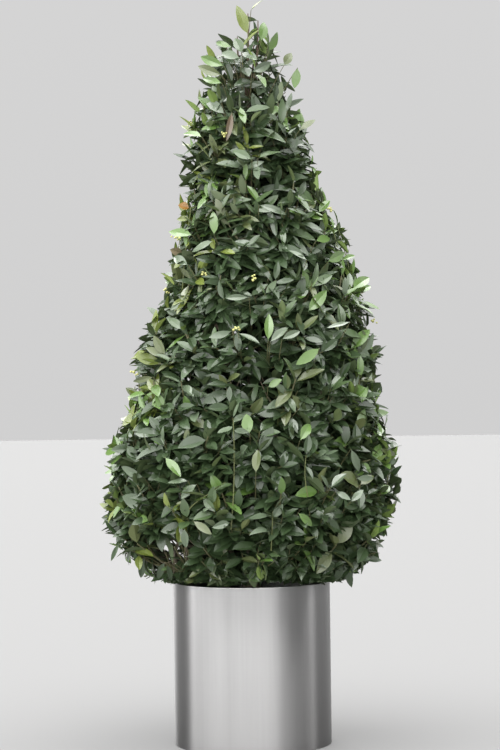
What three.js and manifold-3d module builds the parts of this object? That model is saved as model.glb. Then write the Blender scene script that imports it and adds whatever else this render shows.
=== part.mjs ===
// Potted bay pyramid: a clipped evergreen cone of leafy shoots on one trunk, in a steel cylinder planter.
// Millimetres, +Z up, front towards -Y, the origin at the centre of the planter's flat underside.
import * as THREE from "three";
import { mergeVertices } from "three/addons/utils/BufferGeometryUtils.js";
import Module from "manifold-3d";

const wasm = await Module();
wasm.setup();

// Gap between pieces that rest on each other
const CLEARANCE = 0.3;

// Planter: a rolled sheet cylinder with a folded hem at the rim and a flat floor plate
const POT_RADIUS = 250;
const POT_HEIGHT = 515;
const POT_WALL = 1.5;
const POT_FLOOR = 3;
const POT_EDGE = 1.2;
const HEM_WIDTH = 4.5;
const HEM_DEPTH = 18;
const POT_SIDES = 36;

// Soil: fills the planter to below the rim
const SOIL_TOP = 470;
const SOIL_EDGE_DROP = 8;
const SOIL_FLAT_RADIUS = 190;

// Trunk: a flat cut on the soil, a lobed root flare, a slight lean, and a fork just under the tip
const TRUNK_FOOT = SOIL_TOP + CLEARANCE;
const TRUNK_FORK = 2062;
const TRUNK_FOOT_RADIUS = 24;
const TRUNK_FORK_RADIUS = 7;
const TRUNK_LEAN = [[0, 0, 0], [0, 0, 0.05], [9, -5, 0.35], [14, 3, 0.7], [10, 0, 1]];
const TRUNK_TAPER = 0.85;
const TRUNK_SIDES = 10;
const TRUNK_STEPS = 12;
const TRUNK_SPREAD = 1.6;
const FLARE_REACH = 15;
const FLARE_FADE = 0.025;
const FLARE_LOBES = 5;
const FLARE_LOBE_SHARE = 0.5;

// Crown: how far the leaf tips reach from the centre line at each height, and a slow bulge towards +X
const CROWN_OUTLINE = [
  [505, 270], [560, 420], [720, 482], [960, 462], [1280, 396],
  [1600, 284], [1950, 206], [2180, 150], [2290, 84], [2350, 46],
];
const CROWN_TOP = 2350;
const BULGE = 42;
const BULGE_HEIGHT = 1460;
const BULGE_SPREAD = 300;

// Tiers of foliage, each a ring of masses that keep to their own sector between two wavy seams
const TIERS = [
  { name: "skirt", bottom: 519, top: 860, masses: 6, turn: 0.35, rows: 2, columns: 3 },
  { name: "lower", bottom: 860, top: 1190, masses: 5, turn: 0.8, rows: 2, columns: 3 },
  { name: "middle", bottom: 1190, top: 1505, masses: 4, turn: 0.1, rows: 2, columns: 3 },
  { name: "upper", bottom: 1505, top: 1795, masses: 3, turn: 0.6, rows: 2, columns: 3 },
  { name: "shoulder", bottom: 1795, top: 2060, masses: 2, turn: 1.2, rows: 2, columns: 4 },
];
const SEAM_WAVE = 18;
const SEAM_WAVES = 3;
const SEAM_GAP = 1.5;
const SECTOR_TWIST = 0.0006;

// Core: a thin shell under the leaves of each mass
const CORE_DEPTH = 84;
const CORE_THICKNESS = 40;
const CORE_MARGIN = 7;
const CORE_SIDE_MARGIN = 4;
const CORE_BUMP = 9;
const CORE_LEAST_ROW = 0.1;
const CORE_COLUMN_WIDTH = 170;

// Boughs: from the trunk up and out to the stem of a mass
const BOUGH_RADIUS = 8.5;
const BOUGH_TIP_RADIUS = 4.5;
const BOUGH_SIDES = 5;
const BOUGH_STEPS = 3;
const BOUGH_RISE = 0.55;
const BOUGH_STAGGER = 24;
const BOUGH_LOWEST = SOIL_TOP + 69;
const BOUGH_BEND = 0.55;
const BOUGH_SAG = 0.06;

// Stems, branches and shoots inside a mass
const STEM_INSET = 14;
const STEM_STRAIGHT = 8;
const SHOOT_RADIUS = 6;
const SHOOT_TIP_RADIUS = 4.8;
const SHOOT_FOOT_DROP = 92;
const SHOOT_FOOT_MARGIN = 50;
const SHOOT_TIP_RISE = 52;
const SHOOT_TIP_DEPTHS = [34, 50];
const SHOOT_LEAN = 26;
const SHOOT_ROW_PLAY = [0.42, 0.58];
const SHOOT_COLUMN_PLAY = [0.3, 0.5];
const SHOOT_ROW_SHIFT = 0.2;

// Leaves: a few large ones stand for many. Their roots are sunk into the middle of the shoot.
const LEAF_LENGTH = 148;
const LEAF_WIDTH = 68;
const LEAF_THICKNESS = 2.6;
const LEAF_BEND = 0.12;
const LEAF_WIDEST = 0.44;
const LEAF_SINK = 2.2;
const LEAF_SIZES = [0.84, 1.06];
const LEAVES_ON_SHOOT = 5;
const LEAF_SPACING = 19;
const LEAF_OUTLINE_SPARE = 6;
const LEAF_TRIES = 40;
const LEAF_SHRINK = 0.35;
const LEAF_FACE_UP = [0.2, 0.9];
const LEAST_EDGE = 0.04;
const END_LEAF_TURN = 0.5;
const END_LEAF_EASE = 0.8;
const END_LEAF_MOST_LIFT = 0.9;
const SIDE_LEAF_JITTER = 0.45;
const SIDE_LEAF_FORWARD = [-1, 1];
const OUTLINE_STEP = 40;

// Tip: a small core round the leader, side shoots up its length, leader shoots over it, and smaller leaves
const TIP_CORE_HEIGHT = 2150;
const TIP_CORE_RADIUS = 62;
const TIP_CORE_RISE = 88;
const TIP_STEM_TOP = 2240;
const TIP_STEM_STRAIGHT = 50;
const TIP_SIDE_SHOOTS = 8;
const TIP_LEADERS = 3;
const TIP_LEADER_SPREAD = 16;
const TIP_LEADER_ROOM = 0.82;
const TIP_LEADER_STEP = 8;
const TIP_LEADER_REACH = 0.15;
const TIP_LEADERS_ALONG = [0.55, 0.67];
const TIP_SHOOT_DEPTH = 34;
const TIP_SHOOTS_ALONG = [0.12, 0.6];
const TIP_SHOOT_RISES = [46, 58];
const TIP_SHOOT_REACHES = [0.85, 1];
const GOLDEN_TURN = 2.4;
const TIP_LEAF_SIZE = 0.72;

const TIP_SPACE = {
  bottom: TIERS.at(-1).top, top: CROWN_TOP, whole: true, leafSize: TIP_LEAF_SIZE, seed: 900,
};
const SEED_STEP = 1000;

const { lerp, clamp } = THREE.MathUtils;
const UP = new THREE.Vector3(0, 0, 1);
const FRONT = new THREE.Vector3(0, -1, 0);
const cross = (a, b) => new THREE.Vector3().crossVectors(a, b);
const turned = (from, to, angle) =>
  from.clone().multiplyScalar(Math.cos(angle)).addScaledVector(to, Math.sin(angle));

// Numbers from 0 to 1 that are the same on each run.
function seeded(seed) {
  let state = seed * 2654435761;
  return () => {
    state = (state + 0x6d2b79f5) | 0;
    let mixed = Math.imul(state ^ (state >>> 15), 1 | state);
    mixed = (mixed + Math.imul(mixed ^ (mixed >>> 7), 61 | mixed)) ^ mixed;
    return ((mixed ^ (mixed >>> 14)) >>> 0) / 4294967296;
  };
}

// The geometry with its positions alone, and shared vertices merged.
function merged(geometry) {
  geometry.deleteAttribute("normal");
  geometry.deleteAttribute("uv");
  return mergeVertices(geometry, 1e-4);
}

// The geometry with each vertex moved to where place puts it.
function reshaped(geometry, place) {
  const shape = merged(geometry);
  const position = shape.getAttribute("position");
  const point = new THREE.Vector3();
  for (let i = 0; i < position.count; i++) {
    place(point.fromBufferAttribute(position, i));
    position.setXYZ(i, point.x, point.y, point.z);
  }
  return shape;
}

function solidOf(geometry) {
  return new wasm.Manifold(new wasm.Mesh({
    numProp: 3,
    vertProperties: geometry.getAttribute("position").array,
    triVerts: new Uint32Array(geometry.index.array),
  }));
}

function geometryOf(solid) {
  const mesh = solid.getMesh();
  return new THREE.BufferGeometry()
    .setAttribute("position", new THREE.BufferAttribute(mesh.vertProperties, 3))
    .setIndex(new THREE.BufferAttribute(mesh.triVerts, 1));
}

// Joins solids into one body. Loose scraps and sealed hollows are other components, and the largest is kept.
function fused(solids) {
  const whole = solids.reduce((joined, solid) => joined.add(solid));
  return whole.decompose().reduce((largest, part) => (part.volume() > largest.volume() ? part : largest));
}

// The length of a solid's shortest edge. One that is next to nothing would leave the rounded mesh open.
function shortestEdge(solid) {
  const { vertProperties, triVerts } = solid.getMesh();
  const corner = (i) => new THREE.Vector3().fromArray(vertProperties, 3 * triVerts[i]);
  let shortest = Infinity;
  for (let i = 0; i < triVerts.length; i++) {
    const next = i % 3 === 2 ? i - 2 : i + 1;
    shortest = Math.min(shortest, corner(i).distanceTo(corner(next)));
  }
  return shortest;
}

// A limb along a curve, closed at both ends: rings of corners, the first corner on the side facing gives.
// radiusAt takes the place along it and the angle round it. A spread over 1 draws rings towards the start.
function limb(curve, { radiusAt, sides, steps, facing, spread = 1 }) {
  const rings = Array.from({ length: steps + 1 }, (_, i) => {
    const along = (i / steps) ** spread;
    const tangent = curve.getTangentAt(along);
    const side = cross(tangent, facing).normalize();
    return { along, side, out: cross(side, tangent), centre: curve.getPointAt(along) };
  });
  return reshaped(new THREE.CylinderGeometry(1, 1, 1, sides, steps), (p) => {
    const { along, side, centre, out } = rings[Math.round((p.y + 0.5) * steps)];
    const radius = radiusAt(along, Math.atan2(p.z, p.x));
    const [across, outward] = [p.x * radius, p.z * radius];
    p.copy(centre).addScaledVector(side, across).addScaledVector(out, outward);
  });
}

const tapering = (start, end) => (along) => lerp(start, end, along);

function crownRadius(z) {
  const above = CROWN_OUTLINE.findIndex(([height]) => height >= z);
  if (above <= 0) return CROWN_OUTLINE.at(above)[1];
  const [[low, near], [high, far]] = [CROWN_OUTLINE[above - 1], CROWN_OUTLINE[above]];
  return lerp(near, far, (z - low) / (high - low));
}

const crownCentre = (z) => BULGE * Math.exp(-(((z - BULGE_HEIGHT) / BULGE_SPREAD) ** 2));

// The point at a radius and angle round the crown's centre line.
function onCrown(radius, angle, z, point = new THREE.Vector3()) {
  return point.set(crownCentre(z) + radius * Math.cos(angle), radius * Math.sin(angle), z);
}

// The seam between two tiers, as a height at each angle. The crown's underside and its top have no wave.
function seamHeight(z, angle) {
  const inside = z > TIERS[0].bottom && z < CROWN_TOP;
  return inside ? z + SEAM_WAVE * Math.sin(SEAM_WAVES * angle + z) : z;
}

// The cells: one for each mass, with its tier, its two side seams and its seed.
function cellsOf(tier, tierIndex) {
  return Array.from({ length: tier.masses }, (_, i) => {
    const width = (2 * Math.PI) / tier.masses;
    const from = tier.turn + i * width;
    return { ...tier, width, from, name: `${tier.name}_${i + 1}`, seed: 100 * (tierIndex + 1) + i };
  });
}

// The cell's side seam at a height: it drifts round the crown as it climbs.
const sideSeam = (cell, z) => cell.from + SECTOR_TWIST * (z - cell.bottom);

// Whether each point is inside the cell and under the crown's outline. A whole cell has no side seams.
function fits(cell, points) {
  return points.every((p) => {
    const [x, y] = [p.x - crownCentre(p.z), p.y];
    const radius = Math.hypot(x, y);
    const angle = Math.atan2(y, x);
    const turn = THREE.MathUtils.euclideanModulo(angle - sideSeam(cell, p.z), 2 * Math.PI);
    const spare = cell.whole ? Infinity : Math.min(turn, cell.width - turn) * radius;
    const low = seamHeight(cell.bottom, angle) + SEAM_GAP;
    const high = seamHeight(cell.top, angle) - SEAM_GAP;
    const reach = crownRadius(p.z) + LEAF_OUTLINE_SPARE;
    return spare > SEAM_GAP && p.z > low && p.z < high && radius < reach;
  });
}

// The heights of the core's rows, as shares of the cell's: its ends and the outline's points between them.
function coreShares(cell) {
  const inside = CROWN_OUTLINE.map(([z]) => (z - cell.bottom) / (cell.top - cell.bottom));
  return [0, ...inside.filter((share) => share > CORE_LEAST_ROW && share < 1 - CORE_LEAST_ROW), 1];
}

// The core of a cell: a box bent into a piece of shell. Its three axes become depth, angle and height.
function core(cell) {
  const random = seeded(cell.seed + 7);
  const shares = coreShares(cell);
  const middle = crownRadius((cell.bottom + cell.top) / 2);
  const columns = Math.ceil((cell.width * middle) / CORE_COLUMN_WIDTH);
  return reshaped(new THREE.BoxGeometry(1, 1, 1, 1, columns, shares.length - 1), (p) => {
    const [deep, round] = [p.x + 0.5, p.y + 0.5];
    const up = shares[Math.round((p.z + 0.5) * (shares.length - 1))];
    const rough = lerp(cell.bottom, cell.top, up);
    const margin = CORE_SIDE_MARGIN / (crownRadius(rough) - CORE_DEPTH - CORE_THICKNESS);
    const angle = lerp(sideSeam(cell, rough) + margin, sideSeam(cell, rough) + cell.width - margin, round);
    const low = seamHeight(cell.bottom, angle) + CORE_MARGIN;
    const high = seamHeight(cell.top, angle) - CORE_MARGIN;
    const z = lerp(low, high, up);
    const outer = crownRadius(z) - CORE_DEPTH + CORE_BUMP * (random() - 0.5) * deep;
    onCrown(outer - CORE_THICKNESS * (1 - deep), angle, z, p);
  });
}

// One leaf: a thin pointed kite from its root, with a ridge on each face, bent down towards its tip.
function leaf(root, direction, faceUp, size) {
  const side = cross(direction, faceUp).normalize();
  const frame = new THREE.Matrix4().makeBasis(direction, cross(side, direction), side).setPosition(root);
  return reshaped(new THREE.SphereGeometry(1, 4, 2), (p) => {
    const distance = Math.abs(p.x) > 0.5 ? (p.x + 1) / 2 : LEAF_WIDEST;
    p.set(
      size * LEAF_LENGTH * distance,
      p.y * (LEAF_THICKNESS / 2) - size * LEAF_LENGTH * LEAF_BEND * distance ** 2,
      p.z * size * (LEAF_WIDTH / 2),
    );
    p.applyMatrix4(frame);
  });
}

function cornersOf(geometry) {
  const position = geometry.getAttribute("position");
  const corner = (_, i) => new THREE.Vector3().fromBufferAttribute(position, i);
  return Array.from({ length: position.count }, corner);
}

// A solid with its box, so that two far pieces are told apart quickly.
const boxed = (geometry) => {
  geometry.computeBoundingBox();
  return { solid: solidOf(geometry), box: geometry.boundingBox };
};

const touches = (a, b) => a.box.intersectsBox(b.box) && !a.solid.intersect(b.solid).isEmpty();

// The crown's outline beside a point: how deep the point lies, and the directions out, up and round it there.
function outlineAt(point) {
  const level = new THREE.Vector3(point.x - crownCentre(point.z), point.y, 0);
  const depth = crownRadius(point.z) - level.length();
  const [below, above] = [crownRadius(point.z - OUTLINE_STEP), crownRadius(point.z + OUTLINE_STEP)];
  const around = cross(UP, level.normalize());
  const up = UP.clone().addScaledVector(level, (above - below) / (2 * OUTLINE_STEP)).normalize();
  return { depth, around, up, out: cross(around, up) };
}

// A shoot: a straight three-sided twig with one edge towards the outline, so that two faces look out.
// reach is how far its end leaf goes towards the outline, as a share of the way there.
function shootOn(base, tip, random, reach = 1) {
  const curve = new THREE.LineCurve3(base, tip);
  const axis = curve.getTangent(0);
  const { out } = outlineAt(tip);
  const side = cross(axis, out).normalize();
  const radiusAt = tapering(SHOOT_RADIUS, SHOOT_TIP_RADIUS);
  const twig = limb(curve, { radiusAt, sides: 3, steps: 1, facing: out });
  const hand = random() < 0.5 ? 1 : -1;
  return { ...boxed(twig), curve, axis, side, outward: cross(side, axis), hand, reach };
}

// The direction of the leaf at a shoot's end: upward and out as far as the crown's outline.
function endDirection(root, random, size, reach) {
  const { depth, around, up, out } = outlineAt(root);
  const turn = END_LEAF_TURN * (2 * random() - 1);
  const lift = Math.asin(clamp((reach * depth) / (size * LEAF_LENGTH), 0, END_LEAF_MOST_LIFT));
  return turned(turned(up, around, turn), out, lift);
}

// The direction of a leaf from one of the shoot's two outer faces, on its left or right.
function sideDirection(shoot, random, hand) {
  const round = (hand * Math.PI) / 3 + SIDE_LEAF_JITTER * (2 * random() - 1);
  const across = turned(shoot.outward, shoot.side, round);
  const forward = lerp(...SIDE_LEAF_FORWARD, random());
  return turned(across, shoot.axis, forward);
}

// A try at a leaf: one at the shoot's end goes to the outline, the rest go left and right down its length.
function triedLeaf(shoot, random, place, attempt, leafSize) {
  const ease = attempt / LEAF_TRIES;
  const size = leafSize * lerp(...LEAF_SIZES, random()) * (1 - LEAF_SHRINK * ease);
  const drop = LEAF_SINK + place * leafSize * LEAF_SPACING;
  const root = shoot.curve.getPoint(1 - drop / shoot.curve.getLength());
  const hand = (place + attempt) % 2 ? shoot.hand : -shoot.hand;
  const direction = place
    ? sideDirection(shoot, random, hand)
    : endDirection(root, random, size, shoot.reach * (1 - END_LEAF_EASE * ease));
  const faceUp = shoot.outward.clone().addScaledVector(UP, lerp(...LEAF_FACE_UP, random()));
  return leaf(root, direction, faceUp, size);
}

// The pieces and shoots fused, with the leaves of each shoot. A leaf that would leave its space, touch
// another piece or cut too short an edge is turned and tried again, and in the end skipped.
function leafy({ pieces, shoots }, random, space) {
  const placed = [...pieces, ...shoots];
  let whole = fused(placed.map(({ solid }) => solid));
  if (shortestEdge(whole) < LEAST_EDGE) return null;
  for (const shoot of shoots) {
    for (let place = 0; place < LEAVES_ON_SHOOT; place++) {
      for (let attempt = 0; attempt < LEAF_TRIES; attempt++) {
        const made = triedLeaf(shoot, random, place, attempt, space.leafSize ?? 1);
        if (!fits(space, cornersOf(made))) continue;
        const piece = boxed(made);
        if (placed.some((other) => other !== shoot && touches(piece, other))) continue;
        const joined = whole.add(piece.solid);
        if (shortestEdge(joined) < LEAST_EDGE) continue;
        whole = joined;
        placed.push(piece);
        break;
      }
    }
  }
  return whole;
}

// Where a cell's stem starts, at the inner face of its core.
function stemFoot(cell) {
  const z = lerp(cell.bottom, cell.top, 0.5);
  const angle = sideSeam(cell, z) + cell.width / 2;
  return { z, angle, radius: crownRadius(z) - CORE_DEPTH - CORE_THICKNESS - STEM_INSET };
}

// The bough's curve from the trunk's centre line up and out to the foot of the mass's stem.
function boughCurve(cell, index) {
  const foot = stemFoot(cell);
  const end = onCrown(foot.radius, foot.angle, foot.z);
  const stagger = BOUGH_STAGGER * ((index % 3) - 1);
  const startHeight = stagger + Math.max(BOUGH_LOWEST, foot.z - foot.radius * BOUGH_RISE);
  const start = trunkCurve.getPointAt((startHeight - TRUNK_FOOT) / (TRUNK_FORK - TRUNK_FOOT));
  const bend = start.clone().lerp(end, BOUGH_BEND).addScaledVector(UP, -BOUGH_SAG * foot.radius);
  return new THREE.QuadraticBezierCurve3(start, bend, end);
}

// A point in the middle of the core's shell.
const inCore = (angle, z) => onCrown(crownRadius(z) - CORE_DEPTH - CORE_THICKNESS / 2, angle, z);

// Where a cell's shoot starts in the core and ends under the outline: a grid place with some play and lean.
function shootPlace(cell, row, column, random) {
  const up = (row + lerp(...SHOOT_ROW_PLAY, random())) / cell.rows;
  const round = (column + SHOOT_ROW_SHIFT * (row % 2) + lerp(...SHOOT_COLUMN_PLAY, random())) / cell.columns;
  const z = lerp(cell.bottom, cell.top, up);
  const angle = sideSeam(cell, z) + cell.width * round;
  const lean = (SHOOT_LEAN * (2 * random() - 1)) / crownRadius(z);
  const base = inCore(angle - lean, Math.max(z - SHOOT_FOOT_DROP, cell.bottom + SHOOT_FOOT_MARGIN));
  const tipHeight = Math.min(z + SHOOT_TIP_RISE, cell.top - SEAM_WAVE - SHOOT_TIP_RADIUS);
  const tipRadius = crownRadius(tipHeight) - lerp(...SHOOT_TIP_DEPTHS, random());
  return { base, tip: onCrown(tipRadius, angle + lean, tipHeight), angle };
}

// A mass with its leaves, grown from the first seed that gives no edge too short before they are on.
function grown(space, framework) {
  for (let seed = space.seed; ; seed += SEED_STEP) {
    const random = seeded(seed);
    const mass = leafy(framework(random), random, space);
    if (mass) return mass;
  }
}

// The inside of a mass: its core, its stem off the bough's tip, and in the core a branch to each shoot.
function massFramework(cell, bough, random) {
  const along = bough.getTangentAt(1);
  const foot = bough.getPointAt(1).addScaledVector(along, CLEARANCE);
  const { z: middle, angle: facing } = stemFoot(cell);
  const heart = inCore(facing, middle);
  const ahead = foot.clone().addScaledVector(along, STEM_STRAIGHT);
  const stem = new THREE.QuadraticBezierCurve3(foot, ahead, heart);
  const pieces = [boxed(core(cell)), boxed(limb(stem, {
    radiusAt: tapering(BOUGH_TIP_RADIUS, SHOOT_RADIUS), sides: BOUGH_SIDES, steps: 2, facing: UP,
  }))];
  const shoots = [];
  for (let row = 0; row < cell.rows; row++) {
    for (let column = 0; column < cell.columns; column++) {
      const { base, tip, angle } = shootPlace(cell, row, column, random);
      const bend = inCore(lerp(facing, angle, 0.5), lerp(middle, base.z, 0.5));
      pieces.push(boxed(limb(new THREE.CatmullRomCurve3([heart, bend, base]), {
        radiusAt: () => SHOOT_RADIUS, sides: 3, steps: 2, facing: onCrown(1, angle, 0),
      })));
      shoots.push(shootOn(base, tip, random));
    }
  }
  return { pieces, shoots };
}

// The inside of the tip: a small core, one stem off the trunk's fork, side shoots round it and leaders above.
function tipFramework(random) {
  const along = trunkCurve.getTangentAt(1);
  const foot = trunkCurve.getPointAt(1).addScaledVector(along, CLEARANCE);
  const top = new THREE.Vector3(0, 0, TIP_STEM_TOP);
  const bend = foot.clone().addScaledVector(along, TIP_STEM_STRAIGHT);
  const stem = new THREE.QuadraticBezierCurve3(foot, bend, top);
  const heart = reshaped(new THREE.SphereGeometry(1, 6, 4), (p) => {
    p.set(p.x * TIP_CORE_RADIUS, -p.z * TIP_CORE_RADIUS, TIP_CORE_HEIGHT + p.y * TIP_CORE_RISE);
  });
  const shoots = [];
  for (let i = 0; i < TIP_SIDE_SHOOTS; i++) {
    const share = i / (TIP_SIDE_SHOOTS - 1);
    const start = stem.getPointAt(lerp(...TIP_SHOOTS_ALONG, share));
    const tipHeight = start.z + lerp(...TIP_SHOOT_RISES, share);
    const reach = (crownRadius(tipHeight) - TIP_SHOOT_DEPTH) * lerp(...TIP_SHOOT_REACHES, random());
    const tip = onCrown(reach, i * GOLDEN_TURN, tipHeight);
    shoots.push(shootOn(start, tip, random));
  }
  for (let i = 0; i < TIP_LEADERS; i++) {
    const tipHeight = CROWN_TOP - TIP_LEADER_ROOM * TIP_LEAF_SIZE * LEAF_LENGTH - TIP_LEADER_STEP * i;
    const tip = onCrown(TIP_LEADER_SPREAD, i * GOLDEN_TURN, tipHeight);
    const start = stem.getPointAt(lerp(...TIP_LEADERS_ALONG, i / (TIP_LEADERS - 1)));
    shoots.push(shootOn(start, tip, random, TIP_LEADER_REACH));
  }
  const radiusAt = tapering(TRUNK_FORK_RADIUS, SHOOT_TIP_RADIUS);
  const pieces = [boxed(heart), boxed(limb(stem, { radiusAt, sides: BOUGH_SIDES, steps: 2, facing: FRONT }))];
  return { pieces, shoots };
}

const trunkCurve = new THREE.CatmullRomCurve3(
  TRUNK_LEAN.map(([x, y, share]) => new THREE.Vector3(x, y, lerp(TRUNK_FOOT, TRUNK_FORK, share))),
);

function trunkRadius(along, angle) {
  const flare = FLARE_REACH * Math.exp(-along / FLARE_FADE);
  const lobed = flare * (1 + FLARE_LOBE_SHARE * Math.cos(FLARE_LOBES * angle));
  return lerp(TRUNK_FOOT_RADIUS, TRUNK_FORK_RADIUS, along ** TRUNK_TAPER) + lobed;
}

// The trunk, or with spare the space that its neighbours are cut clear of.
const trunkSolid = (spare = 0) => solidOf(limb(trunkCurve, {
  radiusAt: (along, angle) => trunkRadius(along, angle) + spare,
  sides: TRUNK_SIDES, steps: TRUNK_STEPS, facing: FRONT, spread: TRUNK_SPREAD,
}));

function planterGeometry() {
  const inner = POT_RADIUS - POT_WALL;
  const hem = POT_RADIUS - HEM_WIDTH;
  const profile = [
    [0, 0], [POT_RADIUS - POT_EDGE, 0], [POT_RADIUS, POT_EDGE],
    [POT_RADIUS, POT_HEIGHT - POT_EDGE], [POT_RADIUS - POT_EDGE, POT_HEIGHT],
    [hem + POT_EDGE, POT_HEIGHT], [hem, POT_HEIGHT - POT_EDGE],
    [hem, POT_HEIGHT - HEM_DEPTH], [inner, POT_HEIGHT - HEM_DEPTH - HEM_WIDTH],
    [inner, POT_FLOOR], [0, POT_FLOOR],
  ];
  return lathed(profile);
}

function soilGeometry() {
  const edge = POT_RADIUS - POT_WALL - CLEARANCE;
  return lathed([
    [0, POT_FLOOR + CLEARANCE], [edge, POT_FLOOR + CLEARANCE],
    [edge, SOIL_TOP - SOIL_EDGE_DROP], [SOIL_FLAT_RADIUS, SOIL_TOP], [0, SOIL_TOP],
  ]);
}

// A profile of radius and height, turned about the Z axis.
function lathed(profile) {
  const lathe = new THREE.LatheGeometry(profile.map(([r, z]) => new THREE.Vector2(r, z)), POT_SIDES);
  return lathe.rotateX(Math.PI / 2);
}

const finishes = {
  brushedSteel: { color: 0xb9b8ba, roughness: 0.32, metalness: 1 },
  soil: { color: 0x2c2018, roughness: 0.95, metalness: 0 },
  bark: { color: 0x5d5342, roughness: 0.85, metalness: 0 },
  leaf: { color: 0x2f4a2c, roughness: 0.42, metalness: 0 },
};

function named(name, geometry, finish) {
  const mesh = new THREE.Mesh(geometry, new THREE.MeshStandardMaterial(finishes[finish]));
  mesh.name = name;
  return mesh;
}

const plant = new THREE.Group();
plant.add(named("planter", planterGeometry(), "brushedSteel"));
plant.add(named("soil", soilGeometry(), "soil"));
plant.add(named("trunk", geometryOf(trunkSolid()), "bark"));

const trunkSpace = trunkSolid(CLEARANCE);
TIERS.flatMap(cellsOf).forEach((cell, index) => {
  const curve = boughCurve(cell, index);
  const whole = solidOf(limb(curve, {
    radiusAt: tapering(BOUGH_RADIUS, BOUGH_TIP_RADIUS), sides: BOUGH_SIDES, steps: BOUGH_STEPS, facing: UP,
  }));
  plant.add(named(`bough_${cell.name}`, geometryOf(whole.subtract(trunkSpace)), "bark"));
  const mass = grown(cell, (random) => massFramework(cell, curve, random));
  plant.add(named(`foliage_${cell.name}`, geometryOf(mass), "leaf"));
});
plant.add(named("foliage_tip", geometryOf(grown(TIP_SPACE, tipFramework)), "leaf"));

export default plant;
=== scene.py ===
"""Potted bay pyramid: a clipped evergreen cone of leafy shoots in a brushed steel cylinder planter.

The planter, soil, trunk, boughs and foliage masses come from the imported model. This script makes their
fine surfaces: a rolled steel wall, crumbly soil, bark with relief, and twigs and leaves that grow on from
the limbs by the model's own rule, carried to finer twigs inside the same reach. Lengths are in millimetres,
and meshes, the camera, the studio and the materials' patterns in metres.
"""

import logging
import math
from dataclasses import dataclass, field, fields
from enum import Enum
from typing import Self

import bpy
import numpy as np
from mathutils import Matrix, Vector


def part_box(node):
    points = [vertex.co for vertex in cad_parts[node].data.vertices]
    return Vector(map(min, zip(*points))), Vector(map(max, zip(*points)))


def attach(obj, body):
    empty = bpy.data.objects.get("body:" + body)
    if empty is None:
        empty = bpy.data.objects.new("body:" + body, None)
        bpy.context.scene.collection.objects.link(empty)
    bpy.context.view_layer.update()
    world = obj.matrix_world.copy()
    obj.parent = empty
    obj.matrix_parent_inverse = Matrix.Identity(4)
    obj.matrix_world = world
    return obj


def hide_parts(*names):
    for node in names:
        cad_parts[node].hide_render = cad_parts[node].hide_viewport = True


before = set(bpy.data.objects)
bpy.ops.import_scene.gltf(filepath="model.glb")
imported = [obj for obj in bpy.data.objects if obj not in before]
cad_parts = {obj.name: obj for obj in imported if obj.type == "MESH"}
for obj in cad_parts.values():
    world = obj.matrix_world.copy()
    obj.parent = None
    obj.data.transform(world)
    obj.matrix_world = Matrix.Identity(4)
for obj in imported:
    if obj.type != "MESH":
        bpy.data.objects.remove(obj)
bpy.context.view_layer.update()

log = logging.getLogger("bay")

Array = np.ndarray
Rng = np.random.Generator
Piece = bpy.types.Object
Material = bpy.types.Material
Pair = tuple[float, float]
Triple = tuple[float, float, float]
Four = tuple[float, float, float, float]
Colour = Triple
Curve = tuple[Pair, ...]
Stops = tuple[tuple[float, Colour], ...]
Slots = tuple[Array, Array]
MM = 0.001
UP = np.array([0.0, 0.0, 1.0])
GOLDEN_TURN = 2.4


def unit(vectors: Array) -> Array:
    """Vectors scaled to length one, along their last axis."""
    return vectors / np.linalg.norm(vectors, axis=-1, keepdims=True)


def between(low: Array | float, high: Array | float, share: Array | float) -> Array | float:
    """The value at a share of the way from low to high."""
    return low + (high - low) * share


def column(values: Array) -> Array:
    """The values with one more axis, so that each scales a vector."""
    return np.asarray(values)[..., None]


def along(values: Array, start: Array | float, span: float, least: float = 0.0) -> Array:
    """How far values have come along a span from its start, held between least and 1."""
    return np.clip((values - start) / span, least, 1)


def read(curve: Curve, places: Array | float) -> Array:
    """A curve's value at places, straight between its points."""
    return np.interp(places, *zip(*curve))


def circle(sides: int) -> Array:
    """Angles evenly round a circle, from 0."""
    return np.arange(sides) * 2 * math.pi / sides


def stacked(x: Array | float, y: Array | float, z: Array | float) -> Array:
    """Points from their coordinates, each spread to the shape that they make together."""
    return np.stack(np.broadcast_arrays(x, y, z), axis=-1)


def nearest(places: Array, targets: Array) -> Array:
    """For each place, the number of the target that is nearest to it."""
    away = np.linalg.norm(places[:, None] - targets[None], axis=-1)
    return np.argmin(away, axis=1)


class Rows:
    """Arrays that go together row by row, one for each field of the dataclass."""

    def parts(self) -> list[Array]:
        """The arrays, in the order of the fields."""
        return [getattr(self, part.name) for part in fields(self)]

    def chosen(self, which: Array) -> Self:
        """The rows that a mask or list of numbers picks."""
        return type(self)(*(part[which] for part in self.parts()))

    @classmethod
    def gathered(cls, groups: list[Self]) -> Self:
        """The rows of several groups, one group after another."""
        return cls(*(np.concatenate(parts) for parts in zip(*(group.parts() for group in groups))))


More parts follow.
